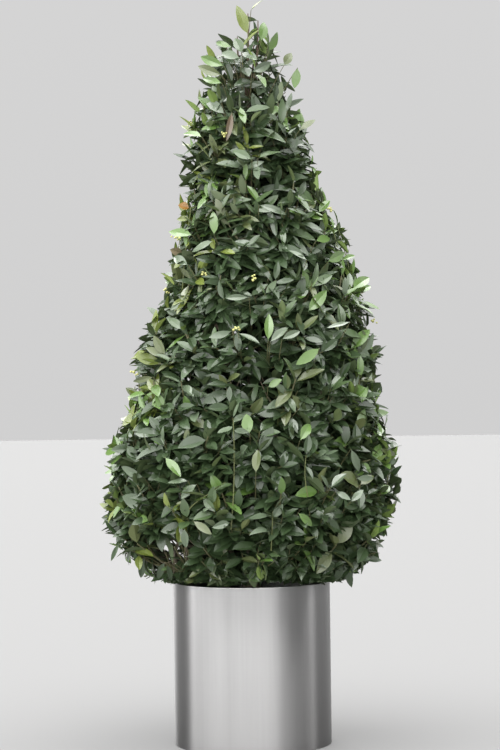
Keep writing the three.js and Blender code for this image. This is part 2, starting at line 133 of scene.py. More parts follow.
@dataclass
class Arcs(Rows):
    """Many limbs at once, each a quadratic curve: (1-t)^2 start + 2t(1-t) bend + t^2 end."""

    start: Array
    bend: Array
    end: Array

    def at(self, share: Array) -> Array:
        """Points at a share of each curve.

        Args:
            share: One share for each limb, or one row of shares for each limb.

        Returns:
            The points, with the shape of share and a last axis of three.
        """
        share = column(share)
        start, bend, end = self._beside(share)
        return (1 - share) ** 2 * start + 2 * share * (1 - share) * bend + share**2 * end

    def heading(self, share: Array) -> Array:
        """Directions at a share of each curve: (1-t)(bend - start) + t(end - bend), at length one.

        Args:
            share: Shares as for at.

        Returns:
            The directions, shaped as at gives points.
        """
        share = column(share)
        start, bend, end = self._beside(share)
        return unit((1 - share) * (bend - start) + share * (end - bend))

    def _beside(self, share: Array) -> list[Array]:
        """The three points of each curve, with axes added so that they go with the shares."""
        added = tuple(range(1, 1 + share.ndim - self.start.ndim))
        return [np.expand_dims(part, added) for part in self.parts()]

    def length(self) -> Array:
        """Each limb's length, taken as the mean of its chord and its two legs."""
        legs = np.linalg.norm(self.bend - self.start, axis=-1) + np.linalg.norm(self.end - self.bend, axis=-1)
        return (legs + np.linalg.norm(self.end - self.start, axis=-1)) / 2


@dataclass
class Shapes:
    """Closed shapes of one kind: rings of points carried along a path, closed by a pole at each end.

    rings has the axes shape, ring, point round the ring, and coordinate. poles has shape, end and coordinate.
    A ring runs anticlockwise seen against its path, so the faces point out.
    """

    rings: Array
    poles: Array

    def vertices(self) -> Array:
        """All points in millimetres, shape by shape, each with its rings first and then its two poles."""
        shapes = len(self.rings)
        return np.concatenate([self.rings.reshape(shapes, -1, 3), self.poles], axis=1).reshape(-1, 3)

    def faces(self) -> tuple[Array, Array]:
        """The faces of every shape.

        Returns:
            The quads between rings, with the axes face and corner, ring by ring in each shape, and then the
            triangles round the first poles and the last poles. A quad is cut from its first corner, and the
            second half of a ring starts a corner later, so that both sides of a thin blade are cut alike.
        """
        shapes, rings, sides = self.rings.shape[:3]
        points = rings * sides + 2
        ring, side = np.meshgrid(np.arange(rings - 1), np.arange(sides), indexing="ij")
        following = (side + 1) % sides
        quads = np.stack([
            ring * sides + side, ring * sides + following,
            (ring + 1) * sides + following, (ring + 1) * sides + side,
        ], axis=-1).reshape(-1, 4)
        beyond = side.ravel() >= sides / 2
        quads[beyond] = np.roll(quads[beyond], -1, axis=1)
        side = np.arange(sides)
        following = (side + 1) % sides
        last = (rings - 1) * sides
        first_fan = np.stack([following, side, np.full(sides, points - 2)], axis=-1)
        last_fan = np.stack([last + side, last + following, np.full(sides, points - 1)], axis=-1)
        fans = np.concatenate([first_fan, last_fan])
        offset = (np.arange(shapes) * points)[:, None, None]
        return (quads[None] + offset).reshape(-1, 4), (fans[None] + offset).reshape(-1, 3)


def joined_mesh(name: str, parts: list[Shapes], slots: list[Slots] | None = None) -> Piece:
    """One object at the origin that holds all the shapes.

    Args:
        name: The piece's name.
        parts: Shapes of one kind or several.
        slots: For each of the parts, the material numbers of its quads and of its triangles.

    Returns:
        The object, smooth shaded and with no material yet.
    """
    vertices = np.concatenate([part.vertices() for part in parts])
    starts = np.cumsum([0] + [len(part.vertices()) for part in parts[:-1]])
    faces = [part.faces() for part in parts]
    quads = np.concatenate([four + start for (four, _), start in zip(faces, starts)])
    triangles = np.concatenate([three + start for (_, three), start in zip(faces, starts)])
    corners = np.concatenate([quads.ravel(), triangles.ravel()]).astype(np.int32)
    sizes = np.concatenate([np.full(len(quads), 4), np.full(len(triangles), 3)])
    mesh = bpy.data.meshes.new(name)
    mesh.vertices.add(len(vertices))
    mesh.vertices.foreach_set("co", (vertices * MM).astype(np.float32).ravel())
    mesh.loops.add(len(corners))
    mesh.loops.foreach_set("vertex_index", corners)
    mesh.polygons.add(len(sizes))
    mesh.polygons.foreach_set("loop_start", (np.cumsum(sizes) - sizes).astype(np.int32))
    mesh.polygons.foreach_set("use_smooth", np.ones(len(sizes), bool))
    if slots is not None:
        numbers = np.concatenate([four for four, _ in slots] + [three for _, three in slots])
        mesh.polygons.foreach_set("material_index", numbers.astype(np.int32))
    mesh.update(calc_edges=True)
    mesh.validate()
    piece = bpy.data.objects.new(name, mesh)
    bpy.context.scene.collection.objects.link(piece)
    return piece


def dress(piece: Piece, finishes: list[Material], nodes: list[str], crease: float = 40) -> None:
    """Gives a piece its materials, sets it on the model and reports it.

    Args:
        piece: The object.
        finishes: Its materials, in the order of the mesh's material numbers.
        nodes: The model's nodes that it stands for.
        crease: Edges that turn more than this many degrees are sharp.
    """
    for finish in finishes:
        piece.data.materials.append(finish)
    piece.data.set_sharp_from_angle(angle=math.radians(crease))
    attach(piece, "root")
    if nodes:
        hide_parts(*nodes)
    corners = len(piece.data.loops) - 2 * len(piece.data.polygons)
    log.info("%s: %d triangles, stands for %d nodes", piece.name, corners, len(nodes))


class Value:
    """A number in a material's nodes. Arithmetic on it adds Math nodes."""

    def __init__(self, wiring: "Wiring", socket: bpy.types.NodeSocket) -> None:
        """Keeps the tree that the socket belongs to, and the socket."""
        self.wiring = wiring
        self.socket = socket

    def _math(self, operation: str, first: "Value | float", second: "Value | float") -> "Value":
        """The result of one Math node on two values."""
        return self.wiring.node("ShaderNodeMath", {"operation": operation}, {0: first, 1: second})

    def __add__(self, other: "Value | float") -> "Value":
        """This value plus another."""
        return self._math("ADD", self, other)

    def __mul__(self, other: "Value | float") -> "Value":
        """This value times another."""
        return self._math("MULTIPLY", self, other)


class Wiring:
    """A tree of nodes that ends in one shader."""

    def __init__(self, tree: bpy.types.NodeTree, shader: str) -> None:
        """Keeps the tree, and the shader that it ends in by name."""
        self.tree = tree
        self.shader = tree.nodes[shader]

    def node(self, kind: str, settings: dict[str, object], inputs: dict[str | int, object],
             output: str | int = 0) -> Value:
        """Adds a node: its settings first, then its sockets.

        Args:
            kind: The node's type.
            settings: Properties of the node. stops sets a ramp's places and colours.
            inputs: A value, a number, a colour or a vector for each socket named or numbered.
            output: The socket that is wanted.

        Returns:
            The wanted output.
        """
        node = self.tree.nodes.new(kind)
        for name, setting in settings.items():
            if name == "stops":
                self._set_stops(node.color_ramp, setting)
            else:
                setattr(node, name, setting)
        for name, value in inputs.items():
            if isinstance(value, Value):
                self.tree.links.new(value.socket, node.inputs[name])
            else:
                node.inputs[name].default_value = value
        return Value(self, node.outputs[output])

    @staticmethod
    def _set_stops(ramp: bpy.types.ColorRamp, stops: Stops) -> None:
        """Sets a ramp's places and colours in order.

        Args:
            ramp: The ramp, which starts with two stops.
            stops: Each place and its colour.
        """
        while len(ramp.elements) < len(stops):
            ramp.elements.new(1.0)
        for element, (place, colour) in zip(ramp.elements, stops):
            element.position = place
            element.color = solid(*colour)

    def feed(self, socket: str, value: Value) -> None:
        """Links a value to the shader's socket."""
        self.tree.links.new(value.socket, self.shader.inputs[socket])

    def part(self, vector: Value, axis: str) -> Value:
        """One coordinate of a vector."""
        return self.node("ShaderNodeSeparateXYZ", {}, {"Vector": vector}, axis)

    def ramp(self, value: Value, stops: Stops) -> Value:
        """A colour that runs through stops as the value rises."""
        return self.node("ShaderNodeValToRGB", {"stops": stops}, {"Fac": value})

    def mixed(self, share: Value, first: object, second: object) -> Value:
        """The colour at a share of the way from the first to the second, by the sockets that hold colours."""
        return self.node("ShaderNodeMix", {"data_type": "RGBA"}, {0: share, 6: first, 7: second}, 2)


@dataclass(frozen=True)
class Grain:
    """A pattern of noise: how fine it is, how it is squeezed on each axis, and its detail."""

    scale: float
    squeeze: Triple = (1, 1, 1)
    detail: float = 3.0


class Recipe(Wiring):
    """A material's nodes, ending in one Principled shader."""

    def __init__(self, name: str, **fixed: object) -> None:
        """Makes the material.

        Args:
            name: The material's name.
            **fixed: The shader's constant inputs, by socket name with _ for a space.
        """
        self.material = bpy.data.materials.new(name)
        self.material.use_nodes = True
        super().__init__(self.material.node_tree, "Principled BSDF")
        for socket, value in fixed.items():
            self.shader.inputs[socket.replace("_", " ")].default_value = value
        self.material.diffuse_color = tuple(self.shader.inputs["Base Color"].default_value)

    def place(self, squeeze: Triple = (1, 1, 1)) -> Value:
        """The place on the object in metres, squeezed on each axis."""
        seen = self.node("ShaderNodeTexCoord", {}, {}, "Object")
        return self.node("ShaderNodeMapping", {}, {"Vector": seen, "Scale": squeeze})

    def noise(self, grain: Grain) -> Value:
        """A grain's noise, between about 0.2 and 0.8."""
        inputs = {"Vector": self.place(grain.squeeze), "Scale": grain.scale, "Detail": grain.detail}
        return self.node("ShaderNodeTexNoise", {}, inputs)

    @staticmethod
    def blend(share: float, first: Value, second: Value) -> Value:
        """A share of the first value, with the rest made up by the second."""
        return first * share + second * (1 - share)

    def relief(self, height: Value, strength: float, distance: float) -> None:
        """Bumps the surface by a height, with the distance in metres that height 1 stands for."""
        bump = self.node("ShaderNodeBump", {}, {"Height": height, "Strength": strength, "Distance": distance})
        self.feed("Normal", bump)


def solid(red: float, green: float, blue: float) -> Four:
    """A colour with full alpha."""
    return red, green, blue, 1.0


# The roughness of leaves' undersides and of twigs.
DULL = 0.6


@dataclass(frozen=True)
class BrushedSteel:
    """Satin stainless sheet.

    Its brush lines run round the cylinder, so what it mirrors is drawn out upwards. It is rougher by a little
    in its streaks, in its lines and on its foot, whose colour is also darkened towards the bottom as painted
    shade. A relief is a strength and a height in metres.
    """

    roughness: float = 0.37
    rougher: Triple = (0.06, 0.04, 0.03)
    draw_out: float = 0.96
    quarter_turn: float = 0.25
    streaks: Grain = Grain(90.0, (1, 1, 0.03), 4.0)
    lines: Grain = Grain(1.0, (2, 2, 900), 2.0)
    streak_share: float = 0.7
    stops: Stops = ((0.3, (0.376, 0.373, 0.373)), (0.7, (0.425, 0.421, 0.422)))
    # A darker colour mixed in towards the foot as painted shade, up to the foot's height, where the steel is
    # also rougher.
    dusty: Colour = (0.25, 0.247, 0.245)
    dust: float = 0.6
    dust_height: float = 0.5
    relief: Pair = (0.05, 0.0004)

    def material(self) -> Material:
        """The steel, with faint upright streaks, fine lines round it and a rougher foot, darkened towards the
        bottom as painted shade.

        Returns:
            The material.
        """
        recipe = Recipe("brushed_steel", Metallic=1.0, Anisotropic=self.draw_out,
                        Anisotropic_Rotation=self.quarter_turn)
        streaks, lines = recipe.noise(self.streaks), recipe.noise(self.lines)
        height = recipe.part(recipe.place(), "Z")
        # The sockets are numbered: 1 and 2 hold what the height runs from, 3 and 4 what it becomes.
        foot = recipe.node("ShaderNodeMapRange", {},
                           {"Value": height, 1: 0.0, 2: self.dust_height, 3: 1.0, 4: 0.0})
        tone = recipe.ramp(recipe.blend(self.streak_share, streaks, lines), self.stops)
        # Painted shade: the colour is darkened towards the foot.
        recipe.feed("Base Color", recipe.mixed(foot * self.dust, tone, solid(*self.dusty)))
        in_streaks, in_lines, on_foot = self.rougher
        recipe.feed("Roughness", streaks * in_streaks + lines * in_lines + foot * on_foot + self.roughness)
        recipe.relief(streaks, *self.relief)
        return recipe.material


@dataclass(frozen=True)
class PottingSoil:
    """Dark peat with pale grit."""

    roughness: float = 0.95
    crumbs: Grain = Grain(260.0, detail=6.0)
    patches: Grain = Grain(14.0)
    crumb_share: float = 0.75
    relief: Pair = (0.7, 0.002)
    stops: Stops = (
        (0.3, (0.009, 0.006, 0.004)), (0.55, (0.028, 0.018, 0.011)), (0.72, (0.11, 0.08, 0.055)),
    )

    def material(self) -> Material:
        """The soil, darker in the hollows of its relief as painted shade, with paler crumbs.

        Returns:
            The material.
        """
        recipe = Recipe("potting_soil", Roughness=self.roughness)
        crumbs, patches = recipe.noise(self.crumbs), recipe.noise(self.patches)
        # The colour follows the relief's noise, so the hollows are darker: painted shade.
        recipe.feed("Base Color", recipe.ramp(recipe.blend(self.crumb_share, crumbs, patches), self.stops))
        recipe.relief(crumbs, *self.relief)
        return recipe.material


@dataclass(frozen=True)
class Bark:
    """Smooth grey-olive bark with long shallow ridges, less rough on their crests, and paler patches."""

    name: str
    dark: Colour
    pale: Colour
    change: Pair = (0.35, 0.62)
    ridges: Grain = Grain(150.0, (1, 1, 0.22), 5.0)
    patches: Grain = Grain(18.0, (1, 1, 0.5))
    ridge_share: float = 0.6
    roughness: float = 0.95
    rougher: float = -0.3
    relief: Pair = (0.6, 0.0015)

    def material(self) -> Material:
        """The bark, its pattern drawn out upwards.

        Returns:
            The material.
        """
        recipe = Recipe(self.name)
        ridges, patches = recipe.noise(self.ridges), recipe.noise(self.patches)
        stops = tuple(zip(self.change, (self.dark, self.pale)))
        recipe.feed("Base Color", recipe.ramp(recipe.blend(self.ridge_share, ridges, patches), stops))
        recipe.feed("Roughness", ridges * self.rougher + self.roughness)
        recipe.relief(ridges, *self.relief)
        return recipe.material


@dataclass(frozen=True)
class Plain:
    """A plain colour with a gloss, for what is dealt out by spray: a leaf's face, a young shoot or a bud."""

    name: str
    colour: Colour
    roughness: float = 0.42
    coat: float = 0.0
    coat_roughness: float = 0.21
    metal: float = 0.0

    def material(self) -> Material:
        """The plain finish."""
        return Recipe(self.name, Base_Color=solid(*self.colour), Roughness=self.roughness,
                      Metallic=self.metal, Coat_Weight=self.coat, Coat_Roughness=self.coat_roughness).material


class Numbered(Enum):
    """Options in an order that the material numbers of meshes follow."""

    @property
    def number(self) -> int:
        """Its place among the options."""
        return list(type(self)).index(self)


class Tint(Numbered):
    """The colours of leaves: of the face and of the underside, and the gloss of the face.

    The deep shade tint is painted shade, and the sage sheen tint is partly a painted sheen.
    """

    MATURE = ((0.055, 0.092, 0.034), (0.105, 0.142, 0.052), 0.75)
    # Dark leaves for those in the crown's shade: painted shade.
    DEEP = ((0.030, 0.053, 0.020), (0.053, 0.079, 0.029), 0.30)
    # Greyer leaves, partly a painted sheen of the sky on glossy faces.
    SAGE = ((0.088, 0.121, 0.072), (0.130, 0.164, 0.088), 0.75)
    OLIVE = ((0.077, 0.098, 0.034), (0.116, 0.140, 0.050), 0.50)
    FRESH = ((0.080, 0.148, 0.030), (0.155, 0.230, 0.055), 0.75)
    YOUNG = ((0.112, 0.145, 0.024), (0.190, 0.245, 0.055), 0.60)
    ORANGE = ((0.205, 0.098, 0.010), (0.200, 0.105, 0.020), 0.25)
    BROWN = ((0.110, 0.078, 0.044), (0.160, 0.115, 0.062), 0.75)
    FADED = ((0.200, 0.165, 0.100), (0.220, 0.180, 0.115), 0.40)

    def finishes(self) -> list[Material]:
        """The materials of a leaf of this tint.

        Returns:
            Its glossy face, then its duller underside.
        """
        face, back, gloss = self.value
        name = self.name.lower()
        return [
            Plain(f"leaf_{name}_face", face, coat=gloss).material(),
            Plain(f"leaf_{name}_back", back, DULL).material(),
        ]


# The common tints: mature, deep shade as painted shade, sage sheen as partly a painted sheen, and olive.
COMMON = [tint.number for tint in (Tint.MATURE, Tint.DEEP, Tint.SAGE, Tint.OLIVE)]


class Wood(Numbered):
    """The colours of twigs, from old wood to this year's canes."""

    OLD = (0.105, 0.085, 0.058)
    YOUNG = (0.095, 0.092, 0.040)
    GREEN = (0.105, 0.120, 0.040)
    LEADER = (0.085, 0.050, 0.034)

    def finish(self) -> Material:
        """The plain material of this wood."""
        return Plain(f"wood_{self.name.lower()}", self.value, DULL).material()


@dataclass(frozen=True)
class Dent:
    """A place where the clipped surface lies deeper, or prouder with a negative depth."""

    angle: float
    height: float
    depth: float
    turn: float = 0.9
    rise: float = 110

    def at(self, z: Array, angle: Array) -> Array:
        """How much deeper it is: depth exp(-(turn away / its turn)^2 - (height away / its rise)^2)."""
        away = (angle - self.angle + math.pi) % (2 * math.pi) - math.pi
        return self.depth * np.exp(-((away / self.turn) ** 2) - ((z - self.height) / self.rise) ** 2)


@dataclass(frozen=True)
class Crown:
    """The space that the leaves fill: a cone with a rounded skirt, and a slow bulge towards +X.

    Each of its low waves has how often it goes round, how fast it climbs and its phase.
    """

    heights: tuple[float, ...] = (505, 545, 590, 650, 720, 800, 960, 1280, 1600, 1950, 2180, 2290, 2350)
    radii: tuple[float, ...] = (282, 354, 414, 454, 476, 483, 462, 396, 284, 206, 150, 84, 46)
    bulge: float = 42
    bulge_height: float = 1460
    bulge_spread: float = 300
    step: float = 40
    rim_radius: float = 262
    rim_height: float = 519
    hang: float = 511
    hang_rise: float = 29
    dents: tuple[Dent, ...] = (
        Dent(math.pi, 1075, 46, rise=85), Dent(0.0, 1060, 16), Dent(math.pi, 1420, 18),
        Dent(math.pi, 1750, 20), Dent(0.0, 1730, 10), Dent(math.pi, 930, -14, rise=60),
        Dent(0.0, 930, -14, rise=70),
    )
    waves: tuple[Triple, ...] = ((5, 61, 0), (8, -43, 1.3), (3, 97, 4))
    wave_height: float = 6
    wave_radius: float = 300
    wave_least: float = 0.3
    edge: float = 110

    def radius(self, z: Array) -> Array:
        """How far the leaf tips reach from the centre line at each height."""
        return np.interp(z, self.heights, self.radii)

    def centre(self, z: Array) -> Array:
        """The X of the centre line at each height."""
        return self.bulge * np.exp(-(((z - self.bulge_height) / self.bulge_spread) ** 2))

    def reach(self, z: Array, angle: Array) -> Array:
        """The clipped surface's radius with its dents and the uneven waves that shears leave.

        Each wave is sin(times round * angle + z / climb + phase). They flatten out where the crown is thin.

        Args:
            z: Heights.
            angle: Angles round the centre line.

        Returns:
            The radius at each.
        """
        found = self.radius(z)
        for dent in self.dents:
            found = found - dent.at(z, angle)
        waves = sum(np.sin(times * angle + z / climb + phase) for times, climb, phase in self.waves)
        return found + self.wave_height * waves * np.clip(found / self.wave_radius, self.wave_least, 1)

    def point(self, radius: Array, angle: Array, z: Array) -> Array:
        """Points at a radius and angle round the centre line."""
        return stacked(self.centre(z) + radius * np.cos(angle), radius * np.sin(angle), z)

    def on_front(self, x: Array, z: Array, proud: Array | float) -> Array:
        """Points on the crown's front at places across and up, standing proud of its surface.

        Args:
            x: The places' X.
            z: Their heights.
            proud: How far past the surface each stands.

        Returns:
            The points. A place at the crown's edge keeps a little in front of the trunk's plane.
        """
        aside = x - self.centre(z)
        radius = self.reach(z, np.arctan2(-1.0, aside / self.radius(z))) + proud
        return stacked(x, -np.sqrt(np.maximum(radius**2 - aside**2, self.edge**2)), z)

    def polar(self, points: Array) -> tuple[Array, Array]:
        """The radius and angle of points round the centre line."""
        x = points[..., 0] - self.centre(points[..., 2])
        return np.hypot(x, points[..., 1]), np.arctan2(points[..., 1], x)

    def outward(self, points: Array) -> tuple[Array, Array]:
        """The directions out of the surface and level round it, beside each point.

        Args:
            points: Points in the crown.

        Returns:
            The two unit directions.
        """
        _, angle = self.polar(points)
        z = points[..., 2]
        level = stacked(np.cos(angle), np.sin(angle), 0.0)
        slope = (self.radius(z + self.step) - self.radius(z - self.step)) / (2 * self.step)
        around = np.cross(UP, level)
        climb = unit(UP + level * column(slope))
        return np.cross(around, climb), around

    def holds(self, points: Array, spare: Array) -> Array:
        """Whether each point is inside the crown and clear of the planter's rim.

        Past the rim the lowest that a leaf may hang is hang + hang_rise sin(angle)^2.

        Args:
            points: Points, with the coordinate last.
            spare: How far past the clipped surface each may reach.

        Returns:
            True where the point may be.
        """
        radius, angle = self.polar(points)
        z = points[..., 2]
        hang = self.hang + self.hang_rise * np.sin(angle) ** 2
        floor = np.where(radius < self.rim_radius, self.rim_height, hang)
        top = self.heights[-1] + spare
        return (radius < self.reach(z, angle) + spare) & (z > floor) & (z < top)


@dataclass(frozen=True)
class Tier:
    """A ring of masses between two heights, each with a grid of main shoots."""

    name: str
    bottom: float
    top: float
    masses: int
    turn: float
    rows: int = 2
    columns: int = 3


TIERS = (
    Tier("skirt", 519, 860, 6, 0.35),
    Tier("lower", 860, 1190, 5, 0.8),
    Tier("middle", 1190, 1505, 4, 0.1),
    Tier("upper", 1505, 1795, 3, 0.6),
    Tier("shoulder", 1795, 2060, 2, 1.2, columns=4),
)


@dataclass(frozen=True)
class Mass:
    """One foliage mass: a sector of its tier that drifts round the crown as it climbs."""

    tier: Tier
    number: int
    index: int
    twist: float = 0.0006

    @property
    def width(self) -> float:
        """The sector's angle."""
        return 2 * math.pi / self.tier.masses

    def seam(self, z: Array) -> Array:
        """The angle of the mass's first side seam at each height."""
        return self.tier.turn + self.number * self.width + self.twist * (z - self.tier.bottom)

    def at(self, up: Array) -> Array:
        """The height at a share of the tier's."""
        return between(self.tier.bottom, self.tier.top, up)


def masses() -> list[Mass]:
    """Every mass below the tip, tier by tier, numbered as in the model."""
    places = [(tier, number) for tier in TIERS for number in range(tier.masses)]
    return [Mass(tier, number, index) for index, (tier, number) in enumerate(places)]


def limb_shapes(paths: Array, radii: Array, sides: int) -> Shapes:
    """Round limbs along many paths.

    A ring's point is centre + radius (cos a across + sin a over), where across is square to the path and to
    the axis that the limb's chord is least along.

    Args:
        paths: The centre lines, with the axes limb, ring and coordinate.
        radii: The radius at each ring of each limb, or at each point of each ring.
        sides: Points on a ring.

    Returns:
        The closed limbs.
    """
    ahead = unit(np.gradient(paths, axis=1))
    chord = np.abs(paths[:, -1] - paths[:, 0])
    aside = np.eye(3)[np.argmin(chord, axis=-1)][:, None]
    across = unit(np.cross(aside, ahead))
    over = np.cross(ahead, across)
    angle = circle(sides)
    spread = across[:, :, None] * column(np.cos(angle)) + over[:, :, None] * column(np.sin(angle))
    radii = radii[..., None] if radii.ndim == 2 else radii
    rings = paths[:, :, None] + spread * column(radii)
    return Shapes(rings, paths[:, [0, -1]])


def turned_shape(profile: list[Pair], sides: int) -> Shapes:
    """A profile of radius and height turned about the Z axis: each point is (r cos a, r sin a, z).

    Args:
        profile: Its points, from one on the axis to another.
        sides: Points round it.

    Returns:
        The closed shape.
    """
    places = np.array(profile, float)
    angle = circle(sides)
    radius, height = places[1:-1, :1], places[1:-1, 1:]
    rings = stacked(radius * np.cos(angle), radius * np.sin(angle), height)
    poles = stacked(0.0, 0.0, places[[0, -1], 1])
    return Shapes(rings[None], poles[None])


def rounded(middle: Pair, radius: float, start: float, turn: float, steps: int = 6) -> list[Pair]:
    """Points along an arc: middle + radius (cos a, sin a), with a from start on by turn, in degrees."""
    angles = np.radians(start + turn * np.linspace(0, 1, steps + 1))
    return [(middle[0] + radius * math.cos(a), middle[1] + radius * math.sin(a)) for a in angles]


@dataclass
class Planter:
    """The steel cylinder: a thin rolled wall with a folded hem at the rim and a flat floor plate."""

    wall: float = 1.5
    floor: float = 3.0
    hem: float = 4.5
    hem_depth: float = 18.0
    hem_steps: int = 10
    foot_round: float = 1.4
    plate_ring: float = 0.5
    sides: int = 192
    wall_rings: int = 14
    # The rim's steel: lighter in colour as a painted highlight along the hem, and smoother.
    rim_colour: Colour = (0.52, 0.517, 0.515)
    rim_roughness: float = 0.3
    rim_margin: float = 0.1

    def build(self) -> None:
        """Turns the profile, sized by the model's planter, and finishes it in steel, lighter and smoother at
        the rim; the lighter colour is a painted highlight.
        """
        _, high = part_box("planter")
        radius, top = high.x / MM, high.z / MM
        profile = self._profile(radius, top)
        shape = turned_shape(profile, self.sides)
        _, fans = shape.faces()
        height = np.repeat(np.array(profile)[1:-2, 1], self.sides)
        on_rim = height >= top - self.hem / 2 - self.rim_margin
        piece = joined_mesh("planter_shell", [shape], [(on_rim.astype(int), np.zeros(len(fans), int))])
        # The rim's lighter steel is a painted highlight.
        rim = Plain("rim_steel", self.rim_colour, self.rim_roughness, metal=1.0)
        dress(piece, [BrushedSteel().material(), rim.material()], ["planter"], crease=50)

    def _profile(self, radius: float, top: float) -> list[Pair]:
        """The planter's outline, from the foot's middle, up outside, and back down inside.

        Args:
            radius: The outer radius.
            top: The rim's height.

        Returns:
            The radius and height of each point.
        """
        curl = self.hem / 2
        inner = radius - self.wall
        plate = radius * self.plate_ring
        heights = between(self.foot_round, top - curl, np.linspace(0, 1, self.wall_rings)[1:-1])
        return [
            (0, 0), (plate, 0),
            *rounded((radius - self.foot_round, self.foot_round), self.foot_round, -90, 90),
            *((radius, height) for height in heights),
            *rounded((radius - curl, top - curl), curl, 0, 180, self.hem_steps),
            (radius - self.hem, top - self.hem_depth), (inner, top - self.hem_depth - self.hem),
            (inner, self.floor), (plate, self.floor), (0, self.floor),
        ]


@dataclass
class Soil:
    """The filled inside: level at the trunk, lower at the wall, with crumbs."""

    flat_share: float = 0.76
    edge_drop: float = 8.0
    innermost: float = 0.02
    crumb: float = 2.6
    crumb_widths: tuple[float, ...] = (47, 29, 17, 11)
    crumb_rates: Pair = (6.3, 5.1)
    crumb_total: float = 2.2
    smooth_power: int = 4
    rings: int = 60
    sides: int = 150
    seed: int = 11

    def build(self) -> None:
        """Makes the body of soil with a rough top, a low dome with crumbs that fade out at the wall."""
        low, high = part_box("soil")
        radius, base, top = high.x / MM, low.z / MM, high.z / MM
        share = np.linspace(1, self.innermost, self.rings)[:, None]
        fall = along(share, self.flat_share, 1 - self.flat_share)
        angle = circle(self.sides)
        x, y = radius * share * np.cos(angle), radius * share * np.sin(angle)
        crumbs = self._crumbs(x, y) * (1 - fall**self.smooth_power)
        z = top - self.crumb - self.edge_drop * fall + crumbs
        rings = np.concatenate([stacked(x[0], y[0], base)[None], stacked(x, y, z)])
        poles = np.array([[0, 0, base], [0, 0, top - self.crumb]])
        piece = joined_mesh("soil_surface", [Shapes(rings[None], poles[None])])
        dress(piece, [PottingSoil().material()], ["soil"], crease=70)

    def _crumbs(self, x: Array, y: Array) -> Array:
        """The height of the crumbs: products of sines of X and Y, turned and shifted by seeded draws.

        Args:
            x: The places' X.
            y: Their Y.

        Returns:
            The height at each place, between about minus and plus the crumbs' size.
        """
        rng = np.random.default_rng(self.seed)
        total = np.zeros_like(x)
        for width in self.crumb_widths:
            turn = rng.uniform(0, math.pi)
            ahead = x * math.cos(turn) + y * math.sin(turn)
            across = y * math.cos(turn) - x * math.sin(turn)
            phase = rng.uniform(0, 6)
            rate_ahead, rate_across = self.crumb_rates
            total += np.sin(ahead * rate_ahead / width + phase) * np.sin(across * rate_across / width)
        return self.crumb * total / self.crumb_total


@dataclass
class Trunk:
    """The stem: a flat cut on the soil, a lobed root flare, a slight lean, and a fork just under the tip.

    The lean's knots are X, Y and the share of the height. Each ridge of the bark has how often it goes round,
    how fast it climbs and its height.
    """

    fork: float = 2062
    foot_radius: float = 24
    fork_radius: float = 7
    taper: float = 0.85
    lean: tuple[Triple, ...] = ((0, 0, 0), (0, 0, 0.05), (9, -5, 0.35), (14, 3, 0.7), (10, 0, 1))
    flare: float = 15
    flare_fade: float = 0.025
    lobes: int = 5
    lobe_share: float = 0.5
    relief: float = 0.7
    ridges: tuple[Triple, ...] = ((9, 41, 1), (17, -23, 0.6))
    knots: Triple = (19, 3, 53)
    crest: float = 1.6
    wander: float = 0.8
    wander_climb: float = 130
    smooth_foot: float = 30
    crowding: float = 1.4
    rings: int = 220
    sides: int = 40
    bark: Bark = Bark("trunk_bark", (0.060, 0.050, 0.034), (0.150, 0.130, 0.092))

    def foot(self) -> float:
        """The height of the flat cut, from the model."""
        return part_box("trunk")[0].z / MM

    def centre(self, z: Array) -> Array:
        """Points of the centre line at heights.

        Between two knots the line eases from one to the next by the smooth step 3t^2 - 2t^3.

        Args:
            z: Heights.

        Returns:
            The points.
        """
        share = np.clip((np.asarray(z, float) - self.foot()) / (self.fork - self.foot()), 0, 1)
        knots = np.array(self.lean, float)
        number = np.clip(np.searchsorted(knots[:, 2], share, side="right") - 1, 0, len(knots) - 2)
        low, high = knots[number], knots[number + 1]
        t = (share - low[..., 2]) / (high[..., 2] - low[..., 2])
        ease = column(t * t * (3 - 2 * t))
        level = between(low, high, ease)[..., :2]
        return np.concatenate([level, column(np.asarray(z, float))], axis=-1)

    def radius(self, share: Array, angle: Array) -> Array:
        """The trunk's radius: foot to fork by share^taper, plus a flare that fades as exp(-share / fade).

        Args:
            share: Shares of the height.
            angle: Angles round it, for the flare's lobes.

        Returns:
            The radius at each.
        """
        lobes = 1 + self.lobe_share * np.cos(self.lobes * angle)
        flare = self.flare * np.exp(-share / self.flare_fade) * lobes
        return between(self.foot_radius, self.fork_radius, share**self.taper) + flare

    def _relief(self, share: Array, angle: Array, z: Array) -> Array:
        """The height of the bark: long ridges that wander round the trunk as they climb, and low knots.

        A ridge is height * sin(times round * wandering angle + z / climb). Crests stay inside the radius.

        Args:
            share: Shares of the trunk's height, as one column.
            angle: Angles round it.
            z: The heights of the shares.

        Returns:
            How far the bark stands out at each height and angle, fading out at the cut.
        """
        wandering = angle + self.wander * np.sin(z / self.wander_climb)
        ridges = sum(height * np.sin(times * wandering + z / climb) for times, climb, height in self.ridges)
        step, times, climb = self.knots
        knots = np.sin(z / step) * np.sin(times * angle + z / climb)
        return self.relief * (ridges + knots - self.crest) * np.clip(share * self.smooth_foot, 0, 1)

    def build(self) -> None:
        """Makes the trunk with its bark's relief."""
        share = np.linspace(0, 1, self.rings)[:, None] ** self.crowding
        z = between(self.foot(), self.fork, share)
        angle = circle(self.sides)
        radius = self.radius(share, angle - math.pi / 2) + self._relief(share, angle, z)
        centres = self.centre(z[:, 0])
        rings = centres[:, None] + stacked(np.cos(angle), np.sin(angle), 0.0) * column(radius)
        piece = joined_mesh("trunk_bark", [Shapes(rings[None], centres[None, [0, -1]])])
        dress(piece, [self.bark.material()], ["trunk"], crease=60)


